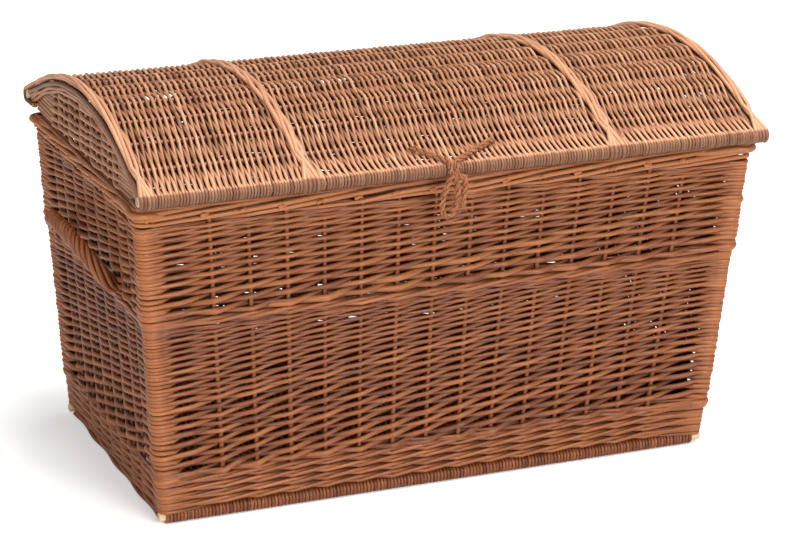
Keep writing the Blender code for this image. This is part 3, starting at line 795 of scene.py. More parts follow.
# A wale's bottom, its rows, its rods' radius and how far a rod rises at each step
WALES = {
    "base_wale": (BASE_TOP, 4, 0.0024, 0.00495),
    "mid_wale": (LOWER_RAND_TOP + 0.0008, 1, 0.0026, 0.0053),
}


def build_walls():
    for name, shape in RANDS.items():
        french_rand(name, *shape)
    for name, shape in WALES.items():
        pieces = new_walls()
        wale(pieces, *shape)
        if name == "base_wale":
            packing(pieces, (BASE_TOP - 0.002,), 0.0024, True)
        wall_pieces(pieces, name, name)
    stakes_and_border()


# Base


def hook(centre, radius, start, sweep, steps):
    """Depth and height of points on a circle round a stick, from a start turn through a sweep."""
    turns = start + sweep * np.linspace(0.0, 1.0, steps)
    return np.stack((centre[0] + radius * np.cos(turns), centre[1] + radius * np.sin(turns)), axis=-1)


BASE_EDGE = FLOOR_HALF_DEPTH - BASE_ROLL_RADIUS
BASE_SPACING = 2.0 * BASE_EDGE / (BASE_INNER_STICKS + 1)
BASE_PITCH, BASE_ROD_RADIUS = 0.0043, 0.00216
BASE_WRAP = 1.3 * math.pi
BASE_END_ROWS, BASE_END_RADIUS = 3, 0.0026


def base_weave():
    """Rods that run front to rear over and under the inner sticks and wrap the two edge sticks."""
    bundle = Bundle()
    first = -FLOOR_HALF_LENGTH + 0.0062
    for i in range(int(2 * -first / BASE_PITCH)):
        x = first + BASE_PITCH * (i + 0.5) + random.normal(0.0, 0.00022)
        width = BASE_ROD_RADIUS * vary(0.07)
        most = BASE_ROLL_RADIUS - width
        wrap = min(BASE_STICK_RADIUS + width, most)
        side = 1 if i % 2 else -1
        stops = [(-BASE_EDGE, side * wrap)]
        for j in range(BASE_INNER_STICKS):
            reach = min(BASE_INNER_STICK_RADIUS + width, most)
            stops.append((-BASE_EDGE + BASE_SPACING * (j + 1), reach * (-side if j % 2 == 0 else side)))
        stops.append((BASE_EDGE, side * wrap))
        middle = []
        for (y0, o0), (y1, o1) in zip(stops[:-1], stops[1:]):
            share = np.linspace(0.0, 1.0, 4, endpoint=False)
            rise = BASE_ROLL_RADIUS + o0 + (o1 - o0) * ease(share)
            middle.append(np.stack((y0 + (y1 - y0) * share, rise), axis=-1))
        up = side * math.pi / 2
        near = hook((-BASE_EDGE, BASE_ROLL_RADIUS), wrap, up + side * BASE_WRAP, -side * BASE_WRAP, 12)[:-1]
        far = hook((BASE_EDGE, BASE_ROLL_RADIUS), wrap, up, -side * BASE_WRAP, 12)
        path = np.concatenate((near, *middle, far))
        lean = np.linspace(-0.3, 0.3, len(path)) * BASE_PITCH
        bundle.rod(np.column_stack((x + lean, path)), width, None, 0.3, 7, ALONG_X)
    base_ends(bundle)
    bundle.piece("base_weave_rods", "trunk", base_willow, "base_weave")


def base_ends(bundle):
    """Rows of rods that close the two ends of the base, in and out round the inner sticks' ends."""
    y = np.linspace(-BASE_EDGE + 0.0075, BASE_EDGE - 0.0075, 49)
    for end in (-1.0, 1.0):
        for row in range(BASE_END_ROWS):
            swing = 0.0013 * np.cos(math.pi * ((y + BASE_EDGE) / BASE_SPACING + row))
            height = 0.0031 + 0.0048 * row + 0.0003 * np.sin(y * 60.0 + row)
            path = np.column_stack((end * (FLOOR_HALF_LENGTH - 0.0042 + swing), y, height))
            bundle.rod(path, BASE_END_RADIUS, 0.40 + 0.15 * row, 0.3 + 200.0 * swing, 8, UP, grain=row + end)


def base_inner_sticks():
    """The sticks that run the length of the base, their ends hidden by the end walls."""
    bundle = Bundle()
    steps = 24
    x = np.linspace(-FLOOR_HALF_LENGTH + 0.0112, FLOOR_HALF_LENGTH - 0.0112, steps)
    for y in np.linspace(-BASE_EDGE, BASE_EDGE, BASE_INNER_STICKS + 2)[1:-1]:
        path = np.column_stack((x, y + smooth_field(1, steps)[0] * 0.0004, np.full(steps, BASE_ROLL_RADIUS)))
        bundle.rod(path, BASE_INNER_STICK_RADIUS, None, 0.2, 10, UP)
    nodes = [f"base_stick_inner_{i + 1}" for i in range(BASE_INNER_STICKS)]
    bundle.piece("base_inner_sticks", "trunk", base_willow, *nodes, cut=base_willow, slot="peeled_willow")


def edge_stick(part, end, body, half_length, spot, radius, cut):
    """A stick that tapers a little, with knife-cut ends."""
    bundle = Bundle()
    inner = half_length - 0.001
    x = np.concatenate(((-half_length,), np.linspace(-inner, inner, 24), (half_length,)))
    taper = np.concatenate(((0.86,), np.linspace(1.0, 0.97, 24), (0.84,)))
    path = np.column_stack((x, np.full(len(x), spot[0]), np.full(len(x), spot[1])))
    bundle.rod(path, radius * taper, 0.75, 0.6, 16, UP)
    name, stick = f"{part}_edge_stick_{end}", f"{part}_stick_{end}"
    bundle.piece(name, body, bare_stick, stick, cut=cut, slot="peeled_willow")


# Lid


DOME_RADIUS = (LID_EDGE_HALF_DEPTH**2 + DOME_RISE**2) / (2.0 * DOME_RISE)
DOME_CENTRE = LID_EDGE_HEIGHT + DOME_RISE - DOME_RADIUS
EDGE_ANGLE = math.asin(LID_EDGE_HALF_DEPTH / DOME_RADIUS)
STICK_ANGLES = np.linspace(-EDGE_ANGLE, EDGE_ANGLE, LID_STICKS + 2)
FINAL_STICK = LID_STICKS + 1
ROLL_UNDER, ROLL_TAIL, ROLL_STEPS = 0.05, 0.026, 11
# Crowns along a rod's wrap round an edge stick, from the top to the underside: painted shade, darker towards
# the underside
ROLL_SHADE_CROWNS = (-0.6, -1.9)
LID_BAY_SHARES = np.linspace(0.0, 1.0, 6)


def dome_path(x, angle, offset):
    radius = DOME_RADIUS + offset
    y, z = radius * np.sin(angle), DOME_CENTRE + radius * np.cos(angle)
    return np.stack(np.broadcast_arrays(x, y, z), axis=-1)


def edge_hook(x, side, reach):
    """Points round an edge stick, from the dome's edge outward and under, with a tail that runs inward."""
    turn = math.pi / 2 - side * EDGE_ANGLE
    sweep = math.pi - EDGE_ANGLE + ROLL_UNDER
    path = hook((side * LID_EDGE_HALF_DEPTH, LID_EDGE_HEIGHT), reach, turn, -side * sweep, ROLL_STEPS)
    heading = np.array((-side * math.cos(ROLL_UNDER), math.sin(ROLL_UNDER)))
    path = np.concatenate((path, path[-1] + heading * np.array((0.5, 1.0))[:, None] * ROLL_TAIL))
    return np.column_stack((np.full(len(path), x), path))


def lid_rod(bundle, places, offsets, radii, first, tone, lift=0.0, sides=7, wraps=(True, True)):
    """A rod over the dome from stick to stick, from the first on.

    The places are its x at each stick, and the offsets are outward from the sticks. It wraps the front and
    the rear edge stick where it gets there and wraps says so.
    """
    shares, steps = LID_BAY_SHARES, len(LID_BAY_SHARES) - 1
    points, widths, crowns = [], [], []
    last = first + len(places) - 1
    if first == 0 and wraps[0]:
        near = edge_hook(places[0], -1, LID_EDGE_STICK_RADIUS + radii[0])[:0:-1]
        points.append(near)
        widths.append(np.full(len(near), radii[0]))
        crowns.append(np.linspace(*ROLL_SHADE_CROWNS[::-1], len(near)))
    for step in range(len(places) - 1):
        swing = np.sign(offsets[step]) * lift
        move = places[step + 1] - places[step]
        x = places[step] + move * (shares + swing * np.sin(math.pi * shares) / math.pi)
        low, high = STICK_ANGLES[first + step : first + step + 2]
        angle = low + (high - low) * shares
        offset = offsets[step] + (offsets[step + 1] - offsets[step]) * ease(shares)
        if lift > 0.0 and first + step == 0:
            offset = (offset + corner_bay(shares, offsets[step], offsets[step + 1])) / 2
        elif lift > 0.0 and first + step == LID_STICKS:
            offset = (offset + corner_bay(1.0 - shares, offsets[step + 1], offsets[step])) / 2
        width = radii[step] + (radii[step + 1] - radii[step]) * shares
        keep = slice(0, steps) if step < len(places) - 2 else slice(0, steps + 1)
        points.append(dome_path(x, angle, offset)[keep])
        widths.append(width[keep])
        crowns.append(np.clip(offset / (LID_STICK_RADIUS + width), -1.0, 1.0)[keep])
    if last == FINAL_STICK and wraps[1]:
        far = edge_hook(places[-1], 1, LID_EDGE_STICK_RADIUS + radii[-1])[1:]
        points.append(far)
        widths.append(np.full(len(far), radii[-1]))
        crowns.append(np.linspace(*ROLL_SHADE_CROWNS, len(far)))
    path = np.concatenate(points)
    width, crown = np.concatenate(widths), np.concatenate(crowns)
    if not wraps[1]:
        away = np.hypot(path[:, 1] - LID_EDGE_HALF_DEPTH, path[:, 2] - LID_EDGE_HEIGHT)
        keep = away > HINGE_NOTCH_RADIUS + 0.001
        path, width, crown = path[keep], width[keep], crown[keep]
    bundle.rod(path, width, tone, crown, sides, ALONG_X)


LID_PITCH, LID_ROD_RADIUS, LID_LIFT = 0.00352, 0.00192, 0.35


def lid_panel(name, low, high):
    """Rods that run front to rear over and under the lid's sticks, one place further along at each stick."""
    bundle = Bundle()
    count = int((high - low) / LID_PITCH)
    pitch = (high - low) / count
    wander = smooth_field(count, FINAL_STICK + 1) * 0.10
    # At the front stick, the rods of the middle and right panels lean back and fill two places more
    lean_back = 2 if low > -RIB_CENTRE else 0
    for level in range(lean_back):
        places = [low + pitch * (level + shift) for shift in (0.5, 0.9)]
        offsets = [LID_EDGE_STICK_RADIUS + LID_ROD_RADIUS, -LID_STICK_RADIUS]
        tone = random.normal(ROD_TONE, ROD_TONE_SPREAD)
        lid_rod(bundle, places, offsets, [LID_ROD_RADIUS] * 2, 0, tone)
    for start in range(-FINAL_STICK, count):
        stout = vary(0.05)
        tone = random.normal(0.5, 0.22)
        levels = [start + (lean_back if j == 0 else j) for j in range(FINAL_STICK + 1)]
        inside = [j for j, level in enumerate(levels) if 0 <= level < count]
        if len(inside) > 1 and inside[1] != inside[0] + 1:
            inside = inside[1:]
        if not inside:
            continue
        before, after = inside[0] > 0, inside[-1] < FINAL_STICK
        inside = [inside[0] - 1] * before + inside + [inside[-1] + 1] * after
        if len(inside) < 2:
            continue
        places, offsets, radii = [], [], []
        for at, j in enumerate(inside):
            level = min(max(levels[j], 0), count - 1)
            place = low + pitch * (level + 0.5 + wander[level, j] + random.normal(0.0, 0.06))
            width = LID_ROD_RADIUS * stout * vary(0.03)
            enters, leaves = before and at == 0, after and at == len(inside) - 1
            if enters or leaves:
                place += pitch * (-0.5 if enters else 0.5)
                offset = -0.9 * (LID_STICK_RADIUS + width)
            elif j in (0, FINAL_STICK):
                offset = LID_EDGE_STICK_RADIUS + width
            else:
                offset = 0.88 * (LID_STICK_RADIUS + width) * (1.0 if level % 2 == 0 else -1.0)
            places.append(place)
            offsets.append(offset)
            radii.append(width)
        gap = min(abs(places[-1] - x) for x in HINGE_POSITIONS)
        near_hinge = gap < HINGE_NOTCH_WIDTH / 2 + LID_ROD_RADIUS
        wraps = (True, not (near_hinge and inside[-1] == FINAL_STICK))
        lid_rod(bundle, places, offsets, radii, inside[0], tone, LID_LIFT, wraps=wraps)
    bundle.piece(name, "lid", lid_willow, name.replace("panel", "weave"))


RIB_ROUND = 0.0016  # how far a strand rises and sinks as the strands turn round each other
RIB_FILLERS, RIB_FILLER_RADIUS = (-0.0042, 0.0042), 0.0028


def lid_rib(bundle, centre, half_width, radius, strands, turns):
    """Stout strands laid over the sticks in a slow twist, side by side where they wrap the edge sticks."""
    for strand in range(strands):
        places, offsets, radii = [], [], []
        stout = vary(0.05)
        for j in range(FINAL_STICK + 1):
            turn = 2.0 * math.pi * (turns * j / FINAL_STICK + strand / strands)
            width = radius * stout * vary(0.02)
            places.append(centre + half_width * math.sin(turn) + random.normal(0.0, 0.0004))
            offsets.append(LID_STICK_RADIUS + width + RIB_ROUND * math.cos(turn))
            radii.append(width)
        for end in (0, FINAL_STICK):
            places[end] = centre + 1.9 * radius * (strand - (strands - 1) / 2)
            offsets[end] = LID_EDGE_STICK_RADIUS + radii[end]
        lid_rod(bundle, places, offsets, radii, 0, random.normal(0.32, 0.16), sides=9)
    tone = random.normal(0.3, 0.1)
    ends = [LID_EDGE_STICK_RADIUS * 0.2]
    for place in RIB_FILLERS:
        places = [centre + place] * (FINAL_STICK + 1)
        offsets = ends + [-LID_STICK_RADIUS] * (FINAL_STICK - 1) + ends
        radii = [RIB_FILLER_RADIUS] * (FINAL_STICK + 1)
        lid_rod(bundle, places, offsets, radii, 0, tone, wraps=(False, True))


LUNETTE_INSET = 0.006
LUNETTE_DEPTH = 0.0090  # how far its weave stays inside the dome's middle surface
LUNETTE_HALF_WIDTH = 0.186
LUNETTE_UPRIGHT_RADIUS, LUNETTE_ROD_RADIUS, LUNETTE_PITCH = 0.0024, 0.0026, 0.0047
LUNETTE_BAND = ((0.0042, 0.0040), (0.0082, 0.0046), (0.0122, 0.0040))  # depth and outward offset of each rod


def lid_end(name, sign):
    """The woven half-moon that closes one end of the dome, with a band of rods under the bow."""
    bundle = Bundle()
    uprights = [(RIM_HALF_DEPTH - WALL_THICKNESS / 2) * share for share in stake_shares("left")]
    middle = sign * (LID_HALF_LENGTH - LUNETTE_INSET)
    round_upright = LUNETTE_UPRIGHT_RADIUS + LUNETTE_ROD_RADIUS
    inner = DOME_RADIUS - LUNETTE_DEPTH
    for y in uprights:
        z = np.linspace(LUNETTE_BOTTOM + 0.0005, DOME_CENTRE + math.sqrt(inner**2 - y**2), 8)
        path = np.column_stack((np.full(8, middle), np.full(8, y), z))
        bundle.rod(path, LUNETTE_UPRIGHT_RADIUS, 0.5, 0.4, 7, ALONG_X, cap=0)
    z = LUNETTE_BOTTOM + LUNETTE_ROD_RADIUS + 0.0004
    row = 0
    while z < DOME_CENTRE + DOME_RADIUS - LUNETTE_DEPTH - LUNETTE_ROD_RADIUS:
        half = math.sqrt(max(0.0, inner**2 - (z + LUNETTE_ROD_RADIUS - DOME_CENTRE) ** 2))
        half = min(half, LUNETTE_HALF_WIDTH)
        ys = np.linspace(-half, half, 40)
        share = np.interp(ys, uprights, np.arange(len(uprights)), left=-0.5, right=len(uprights) - 0.5)
        swing = 0.62 * np.cos(math.pi * (share + row)) * round_upright
        sag = 0.0012 * np.sin(ys * 31.0 + row * 0.7)
        path = np.column_stack((middle + sign * swing, ys, z + sag * (z - LUNETTE_BOTTOM > 0.006)))
        width = LUNETTE_ROD_RADIUS * vary(0.05)
        bundle.rod(path, width, None, swing / round_upright, 7, UP, cap=0)
        z += LUNETTE_PITCH
        row += 1
    for depth, out in LUNETTE_BAND:
        angle = np.linspace(-EDGE_ANGLE, EDGE_ANGLE, 40)
        angle = angle * (0.97 - 0.8 * depth / DOME_RADIUS)
        wobble = 0.0006 * np.sin(angle * 40.0 + depth * 900.0)
        path = dome_path(middle + sign * out, angle, wobble - depth)
        bundle.rod(path, 0.0022 * vary(0.05), None, 0.6, 7, ALONG_X, cap=0)
    bundle.piece(name, "lid", lid_willow, name.replace("lunette", "end"))


def build_lid():
    bow_inner = LID_HALF_LENGTH - BOW_WIDTH
    rib_low, rib_high = RIB_CENTRE - RIB_WIDTH / 2, RIB_CENTRE + RIB_WIDTH / 2
    lid_panel("lid_panel_left", -bow_inner, -rib_high + 0.0045)
    lid_panel("lid_panel_middle", -rib_low - 0.001, rib_low + 0.0045)
    lid_panel("lid_panel_right", rib_high, bow_inner)
    for name, sign in (("left", -1), ("right", 1)):
        for kind, centre, half_width, radius, turns in (
            ("rib", RIB_CENTRE, 0.0050, 0.0027, 2.1),
            ("bow", LID_HALF_LENGTH - BOW_WIDTH / 2, 0.0042, 0.0024, 1.2),
        ):
            bundle = Bundle()
            lid_rib(bundle, sign * centre, half_width, radius, 4, turns)
            bundle.piece(f"lid_{kind}_rods_{name}", "lid", lid_willow, f"lid_{kind}_{name}")
        lid_end(f"lid_lunette_{name}", sign)


# Handles, hinges and rope


TURN = 2.0 * math.pi


def twisted(bundle, path, strand_radius, helix, strands, pitch, sides=8, closed=False, spread=None, tone=0.55,
            ease_twist=0.0):
    """Strands laid round a path at a distance of helix from it.

    Ease_twist loosens the twist at the ends, and spread gives each strand a shift along the way.
    """
    path = np.asarray(path, float)
    total = len(path)
    if closed:
        tangents = np.roll(path, -1, 0) - np.roll(path, 1, 0)
        steps = np.linalg.norm(np.roll(path, -1, 0) - path, axis=1)
        length = steps.sum()
        pitch = length / max(1, round(length / pitch))
        travel = np.concatenate(((0.0,), np.cumsum(steps)[:-1]))
    else:
        tangents = np.gradient(path, axis=0)
        travel = lengths(path)
    tangents = units(tangents)
    normals = follow_turns(tangents, closed)
    others = np.cross(tangents, normals)
    helix = np.broadcast_to(helix, total)
    for strand in range(strands):
        slack = ease_twist * travel[-1] / TURN * np.sin(TURN * travel / travel[-1])
        turn = TURN * ((travel - slack) / pitch + strand / strands)
        around = normals * np.cos(turn)[:, None] + others * np.sin(turn)[:, None]
        points = path + around * helix[:, None]
        if spread is not None:
            points = points + spread(strand, travel / travel[-1])
        bundle.rod(points, strand_radius, random.normal(tone, 0.13), 0.6, sides, None, closed)


def resample(path, spacing, closed=False):
    path = np.asarray(path, float)
    if closed:
        path = np.concatenate((path, path[:1]))
    travel = lengths(path)
    count = max(4, int(travel[-1] / spacing))
    wanted = np.linspace(0.0, travel[-1], count, endpoint=not closed)
    return np.column_stack([np.interp(wanted, travel, path[:, i]) for i in range(3)])


def rounded(path, passes):
    for _ in range(passes):
        path[1:-1] = (path[:-2] + 2.0 * path[1:-1] + path[2:]) / 4.0
    return path


HANDLE_STRANDS, HANDLE_STRAND_RADIUS, HANDLE_HELIX, HANDLE_PITCH = 6, 0.0028, 0.0066, 0.070
HANDLE_CORE_RADIUS = 0.0036
HANDLE_FAN = 0.0032  # how far apart the strands lie where they enter the wall


def handle(name, sign):
    """A roped arch whose strands fan out where they enter the wall."""
    half_x, _ = half_sizes(HANDLE_FOOT_HEIGHT)
    inside = half_x - WALL_THICKNESS + 0.002
    turns = np.linspace(0.0, math.pi, 49)
    x = half_x + 0.0055 + HANDLE_REACH * np.sin(turns)
    y = -HANDLE_HALF_SPAN * np.cos(turns)
    z = HANDLE_FOOT_HEIGHT + HANDLE_RISE * np.sin(turns)
    arch = np.column_stack((sign * x, y, z))
    feet = [(sign * inside, end * HANDLE_HALF_SPAN, HANDLE_FOOT_HEIGHT - 0.004) for end in (-1, 1)]
    path = rounded(resample(np.concatenate(([feet[0]], arch, [feet[1]])), 0.004), 3)
    share = np.linspace(0.0, 1.0, len(path))
    swell = np.clip(4.0 * np.sin(math.pi * share), 0.35, 1.0)

    def spread(strand, at):
        near = np.clip(1.0 - np.minimum(at, 1.0 - at) / 0.13, 0.0, 1.0) ** 2
        fan = (strand - (HANDLE_STRANDS - 1) / 2) * HANDLE_FAN * near
        return np.column_stack((np.zeros(len(at)), fan, -0.35 * np.abs(fan)))

    bundle = Bundle()
    radius = HANDLE_STRAND_RADIUS * (0.75 + 0.25 * swell)
    helix = HANDLE_HELIX * swell
    twisted(bundle, path, radius, helix, HANDLE_STRANDS, HANDLE_PITCH, spread=spread, ease_twist=0.65)
    # A real core rod inside the strands, given the darkest tone, which paints shade into the gaps between
    # them
    twisted(bundle, path, HANDLE_CORE_RADIUS, 0.0, 1, 1.0, tone=-0.1)
    bundle.piece(f"{name}_rods", "trunk", wall_willow, name)


def hinge_path(x):
    """A closed path round the lid's rear stick and the top of the rear border."""
    stick = np.array((LID_EDGE_HALF_DEPTH, LID_EDGE_HEIGHT))
    round_stick = LID_EDGE_STICK_RADIUS + 0.0003 + HINGE_ROD_RADIUS
    _, wall_y = half_sizes(HINGE_SLOT_HEIGHT)
    clear = HINGE_ROD_RADIUS + 0.0008
    above = np.array((wall_y - WALL_THICKNESS - clear, BORDER_TOP + clear))
    inner = np.array((above[0], HINGE_SLOT_HEIGHT))
    outer = np.array((wall_y + clear, HINGE_SLOT_HEIGHT))

    def touch(point, side):
        away = stick - point
        return math.atan2(away[1], away[0]) + side * (math.pi / 2 + math.asin(round_stick / np.hypot(*away)))

    first, final = touch(outer, -1), touch(above, 1)
    arc = hook(stick, round_stick, first, (final - first) % (2.0 * math.pi), 17)
    path = np.concatenate((arc, (above, inner, outer)))
    return np.column_stack((np.full(len(path), x), path))


HINGE_STRAND_RADIUS, HINGE_HELIX, HINGE_PITCH = 0.00135, 0.00115, 0.020


def hinge_loop(name, x):
    bundle = Bundle()
    path = resample(hinge_path(x), 0.0022, closed=True)
    twisted(bundle, path, HINGE_STRAND_RADIUS, HINGE_HELIX, 2, HINGE_PITCH, 7, closed=True)
    bundle.piece(f"hinge_rods_{name}", "trunk", wall_willow, f"hinge_loop_{name}")


HAIR_RADIUS, FRAY_RADIUS, FRAY_COUNT = 0.00016, 0.00022, 70
PLY_HELIX, PLY_PITCH = 0.0018, 0.019
YARN_RADIUS, YARN_HELIX, YARN_PITCH, CORE_RADIUS = 0.00105, 0.00088, -0.010, 0.0009


def hairs(bundle, path, count, reach):
    """Loose fibres that stand off a rope."""
    tangents = units(np.gradient(path, axis=0))
    for _ in range(count):
        i = random.integers(0, len(path))
        away = random.normal(0.0, 1.0, 3)
        away -= tangents[i] * away.dot(tangents[i])
        away /= np.linalg.norm(away)
        along = tangents[i] * random.choice((-1.0, 1.0))
        curl = random.normal(0.0, 0.5, 3)
        share = np.linspace(0.0, 1.0, 6)[:, None]
        length = random.uniform(0.4, 1.0) * reach
        points = path[i] + away * (0.6 * ROPE_RADIUS + length * 0.45 * share**0.8)
        points = points + along * length * share + curl * length * 0.4 * share**2
        width = HAIR_RADIUS * (1.0 - 0.7 * share[:, 0])
        bundle.rod(points, width, random.normal(0.75, 0.15), 1.0, 4)


def fray(bundle, path):
    """The loose fibres at the end of a rope."""
    end, along = path[-1], path[-1] - path[-3]
    along = along / np.linalg.norm(along)
    for _ in range(FRAY_COUNT):
        share = np.linspace(0.0, 1.0, 7)[:, None]
        length = random.uniform(0.006, 0.014)
        root = end + random.normal(0.0, 0.0012, 3)
        points = root + along * length * share + random.normal(0.0, 0.35, 3) * length * share**1.6
        bundle.rod(points, FRAY_RADIUS * (1.0 - 0.6 * share[:, 0]), random.normal(0.65, 0.15), 1.0, 4)


def rope(name, path, body, node_name, closed=False, hair=80, frayed=False):
    """Two plies of three yarns round a core, laid round each other, with loose fibres."""
    bundle = Bundle()
    path = resample(path, 0.0016, closed)
    for ply in range(2):
        recorder = PathRecorder()
        twisted(recorder, path, 0.0, PLY_HELIX, 2, PLY_PITCH, closed=closed)
        yarn_path = recorder.paths[ply]
        twisted(bundle, yarn_path, YARN_RADIUS, YARN_HELIX, 3, YARN_PITCH, 6, closed=closed, tone=0.5)
        twisted(bundle, yarn_path, CORE_RADIUS, 0.0, 1, 1.0, 5, closed=closed, tone=0.2)
    hairs(bundle, np.concatenate((path, path[:1])) if closed else path, hair, 0.010)
    if frayed:
        fray(bundle, path)
    bundle.piece(name, body, rope_fibre, node_name, cut=rope_fibre)


class PathRecorder:
    """Keeps the paths that twisted() lays, so that yarns can be laid round them."""

    def __init__(self):
        self.paths = []

    def rod(self, points, *_):
        self.paths.append(points)


LOOP_DROP, LOOP_SHIFT = 0.050, 0.0062
LOOP_HALF_WIDTHS = (0.0052, 0.0064)  # at the top, and what the bottom adds
TAIL_REACH, TAIL_DROP = 0.0125, 0.029
ARMS = (("left", -1, 0.040), ("right", 1, 0.066))
ARM_START, ARM_RUN = 0.004, 0.031


def build_closure():
    """The rope: a hanging loop, a loose tail, and two arms over the lid's edge that end in its weave."""
    steps = 40
    turns = TURN * np.arange(steps) / steps
    drop = LOOP_DROP * (1.0 - np.cos(turns)) / 2
    width = np.sin(turns) * (LOOP_HALF_WIDTHS[0] + LOOP_HALF_WIDTHS[1] * drop / LOOP_DROP)
    width = width - LOOP_SHIFT * drop / LOOP_DROP
    path = np.column_stack((CLOSURE_X + width, np.full(steps, CLOSURE_Y), CLOSURE_PIVOT_HEIGHT - drop))
    rope("rope_loop", path, "closure", "closure_loop", closed=True)
    share = np.linspace(0.0, 1.0, 20)
    x = CLOSURE_X + TAIL_REACH * np.minimum(1.0, 0.3 + share * 3.0) + 0.002 * np.sin(math.pi * share)
    path = np.column_stack((x, np.full(20, CLOSURE_Y), CLOSURE_PIVOT_HEIGHT - TAIL_DROP * share))
    rope("rope_tail", path, "closure", "closure_tail", frayed=True)
    edge = (-LID_EDGE_HALF_DEPTH, LID_EDGE_HEIGHT)
    for name, sign, reach in ARMS:
        share = np.linspace(0.0, 1.0, 24)
        settled = np.minimum(1.0, share / 0.5)
        lift = 0.0038 + 0.0087 + (0.006 - 0.0087) * settled
        lift = lift - 0.011 * np.clip((share - 0.86) / 0.14, 0.0, 1.0) ** 2
        angle = -EDGE_ANGLE + ARM_RUN / DOME_RADIUS * share
        over = dome_path(CLOSURE_X + sign * (ARM_START + (reach - ARM_START) * share), angle, lift)
        front = hook(edge, 0.0125, math.pi * 1.03, EDGE_ANGLE - 0.53 * math.pi, 8)
        front = np.column_stack((np.full(7, CLOSURE_X + sign * 0.0036), front[:-1]))
        rope(f"rope_arm_{name}", np.concatenate((front, over)), "lid", f"closure_arm_{name}", hair=60)


# Build


def build_edge_sticks():
    """The two edge sticks of the base and of the lid; the lid's front one is longer and weathered."""
    for end, sign, overhang, lid_cut in (("front", -1, 0.005, grey_cut), ("rear", 1, 0.002, pale_cut)):
        half = FLOOR_HALF_LENGTH + BASE_STICK_OVERHANG
        spot = (sign * BASE_EDGE, BASE_ROLL_RADIUS)
        edge_stick("base", end, "trunk", half, spot, BASE_STICK_RADIUS, pale_cut)
        spot = (sign * LID_EDGE_HALF_DEPTH, LID_EDGE_HEIGHT)
        edge_stick("lid", end, "lid", LID_HALF_LENGTH + overhang, spot, LID_EDGE_STICK_RADIUS, lid_cut)


def dress_frame():
    """Willow on the sticks and posts of the CAD model that stay in view."""
    finishes = {"lid": lid_willow, "base": base_willow}
    for name, found in frame["nodes"].items():
        if found.hide_render:
            continue
        finish = finishes.get(name.split("_")[0], wall_willow)
        if found.material_slots:
            for place in found.material_slots:
                place.material = finish
        else:
            found.data.materials.append(finish)


build_walls()
base_weave()
base_inner_sticks()
build_edge_sticks()
build_lid()
handle("handle_left", -1)
handle("handle_right", 1)
for hinge_name, hinge_x in zip(("left", "middle", "right"), HINGE_POSITIONS):
    hinge_loop(hinge_name, hinge_x)
build_closure()
dress_frame()


# Floor, light and camera


FLOOR_HALF, FLOOR_GLOW = 12.0, 0.30
WHITE = (1.0, 1.0, 1.0, 1.0)
UNDER_BASE = (0.94, 0.99)  # shares of the base's half sizes between which the floor's glow starts


def pale_floor():
    """A plain pale finish that looks lighter to the camera than its light makes it, except under the base."""
    made, tree, shader = new_finish("pale_floor")
    place = tree.nodes.new("ShaderNodeTexCoord").outputs["Object"]
    shrink = (1.0 / FLOOR_HALF_LENGTH, 1.0 / FLOOR_HALF_DEPTH, 0.0)
    across = node(tree, "ShaderNodeVectorMath", "MULTIPLY", _0=place, _1=shrink)
    away = node(tree, "ShaderNodeVectorMath", "ABSOLUTE", _0=across.outputs[0])
    parts = node(tree, "ShaderNodeSeparateXYZ", Vector=away.outputs[0])
    far = node(tree, "ShaderNodeMath", "MAXIMUM", _0=parts.outputs[0], _1=parts.outputs[1])
    glow = remap(tree, far.outputs[0], 0.0, FLOOR_GLOW, *UNDER_BASE)
    path = tree.nodes.new("ShaderNodeLightPath")
    seen = node(tree, "ShaderNodeMath", "MULTIPLY", _0=path.outputs["Is Camera Ray"], _1=glow)
    tree.links.new(seen.outputs[0], shader.inputs["Emission Strength"])
    shader.inputs["Emission Color"].default_value = WHITE
    shader.inputs["Base Color"].default_value = (0.90, 0.90, 0.90, 1.0)
    shader.inputs["Roughness"].default_value = 0.8
    shader.inputs["Specular IOR Level"].default_value = 0.2
    return made


def floor():
    mesh = bpy.data.meshes.new("floor")
    corners = [(x * FLOOR_HALF, y * FLOOR_HALF, 0) for x, y in ((-1, -1), (1, -1), (1, 1), (-1, 1))]
    mesh.from_pydata(corners, [], [(0, 1, 2, 3)])
    mesh.materials.append(pale_floor())
    made = bpy.data.objects.new("floor", mesh)
    bpy.context.scene.collection.objects.link(made)


def area_light(name, location, target, size, power):
    data = bpy.data.lights.new(name, "AREA")
    data.shape = "RECTANGLE"
    data.size, data.size_y = size
    data.energy = power
    made = bpy.data.objects.new(name, data)
    made.location = location
    made.rotation_mode = "QUATERNION"
    made.rotation_quaternion = (Vector(target) - Vector(location)).to_track_quat("-Z", "Y")
    bpy.context.scene.collection.objects.link(made)


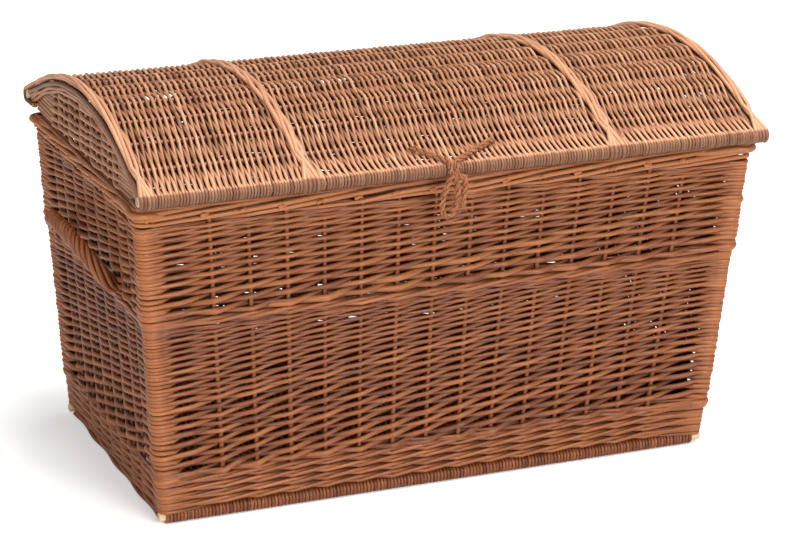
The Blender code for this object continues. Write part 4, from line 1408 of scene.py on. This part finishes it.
def world(lit, seen):
    """Even light from all round, and a white background for the camera."""
    made = bpy.data.worlds.new("studio")
    made.use_nodes = True
    tree = made.node_tree
    tree.nodes.clear()
    path = tree.nodes.new("ShaderNodeLightPath")
    light = node(tree, "ShaderNodeBackground", Color=WHITE, Strength=lit)
    back = node(tree, "ShaderNodeBackground", Color=WHITE, Strength=seen)
    mixed = tree.nodes.new("ShaderNodeMixShader")
    out = tree.nodes.new("ShaderNodeOutputWorld")
    tree.links.new(path.outputs["Is Camera Ray"], mixed.inputs[0])
    tree.links.new(light.outputs[0], mixed.inputs[1])
    tree.links.new(back.outputs[0], mixed.inputs[2])
    tree.links.new(mixed.outputs[0], out.inputs[0])
    bpy.context.scene.world = made


CAMERA_SPOT = (-1.3333, -3.0172, 1.4316)
CAMERA_YAW, CAMERA_PITCH, CAMERA_ROLL = math.radians(24.05), math.radians(20.47), math.radians(1.79)
CAMERA_LENS, CAMERA_SENSOR = 131.1, 36.0


def camera():
    """The camera of the photograph, from the perspective fitted to its corners."""
    level = math.cos(CAMERA_PITCH)
    ahead = Vector((math.sin(CAMERA_YAW) * level, math.cos(CAMERA_YAW) * level, -math.sin(CAMERA_PITCH)))
    right = ahead.cross(Vector((0, 0, 1))).normalized()
    above = right.cross(ahead)
    rolled_right = right * math.cos(CAMERA_ROLL) + above * math.sin(CAMERA_ROLL)
    rolled_up = above * math.cos(CAMERA_ROLL) - right * math.sin(CAMERA_ROLL)
    data = bpy.data.cameras.new("camera")
    data.lens, data.sensor_width = CAMERA_LENS, CAMERA_SENSOR
    made = bpy.data.objects.new("camera", data)
    turned = Matrix((rolled_right, rolled_up, -ahead)).transposed().to_4x4()
    made.matrix_world = Matrix.Translation(CAMERA_SPOT) @ turned
    bpy.context.scene.collection.objects.link(made)
    bpy.context.scene.camera = made


floor()
world(lit=0.32, seen=1.0)
for light_name, light_spot, light_target, light_size, light_power in (
    ("front", (0.4, -3.2, 1.6), (0.0, 0.0, 0.25), (1.5, 1.5), 90.0),
    ("left", (-3.0, -1.3, 1.8), (0.0, 0.0, 0.2), (1.5, 1.5), 41.0),
    ("top", (0.4, -0.3, 3.2), (0.0, 0.0, 0.4), (2.0, 1.4), 124.0),
):
    area_light(light_name, light_spot, light_target, light_size, light_power)
bpy.context.scene.view_settings.view_transform = "Standard"
camera()
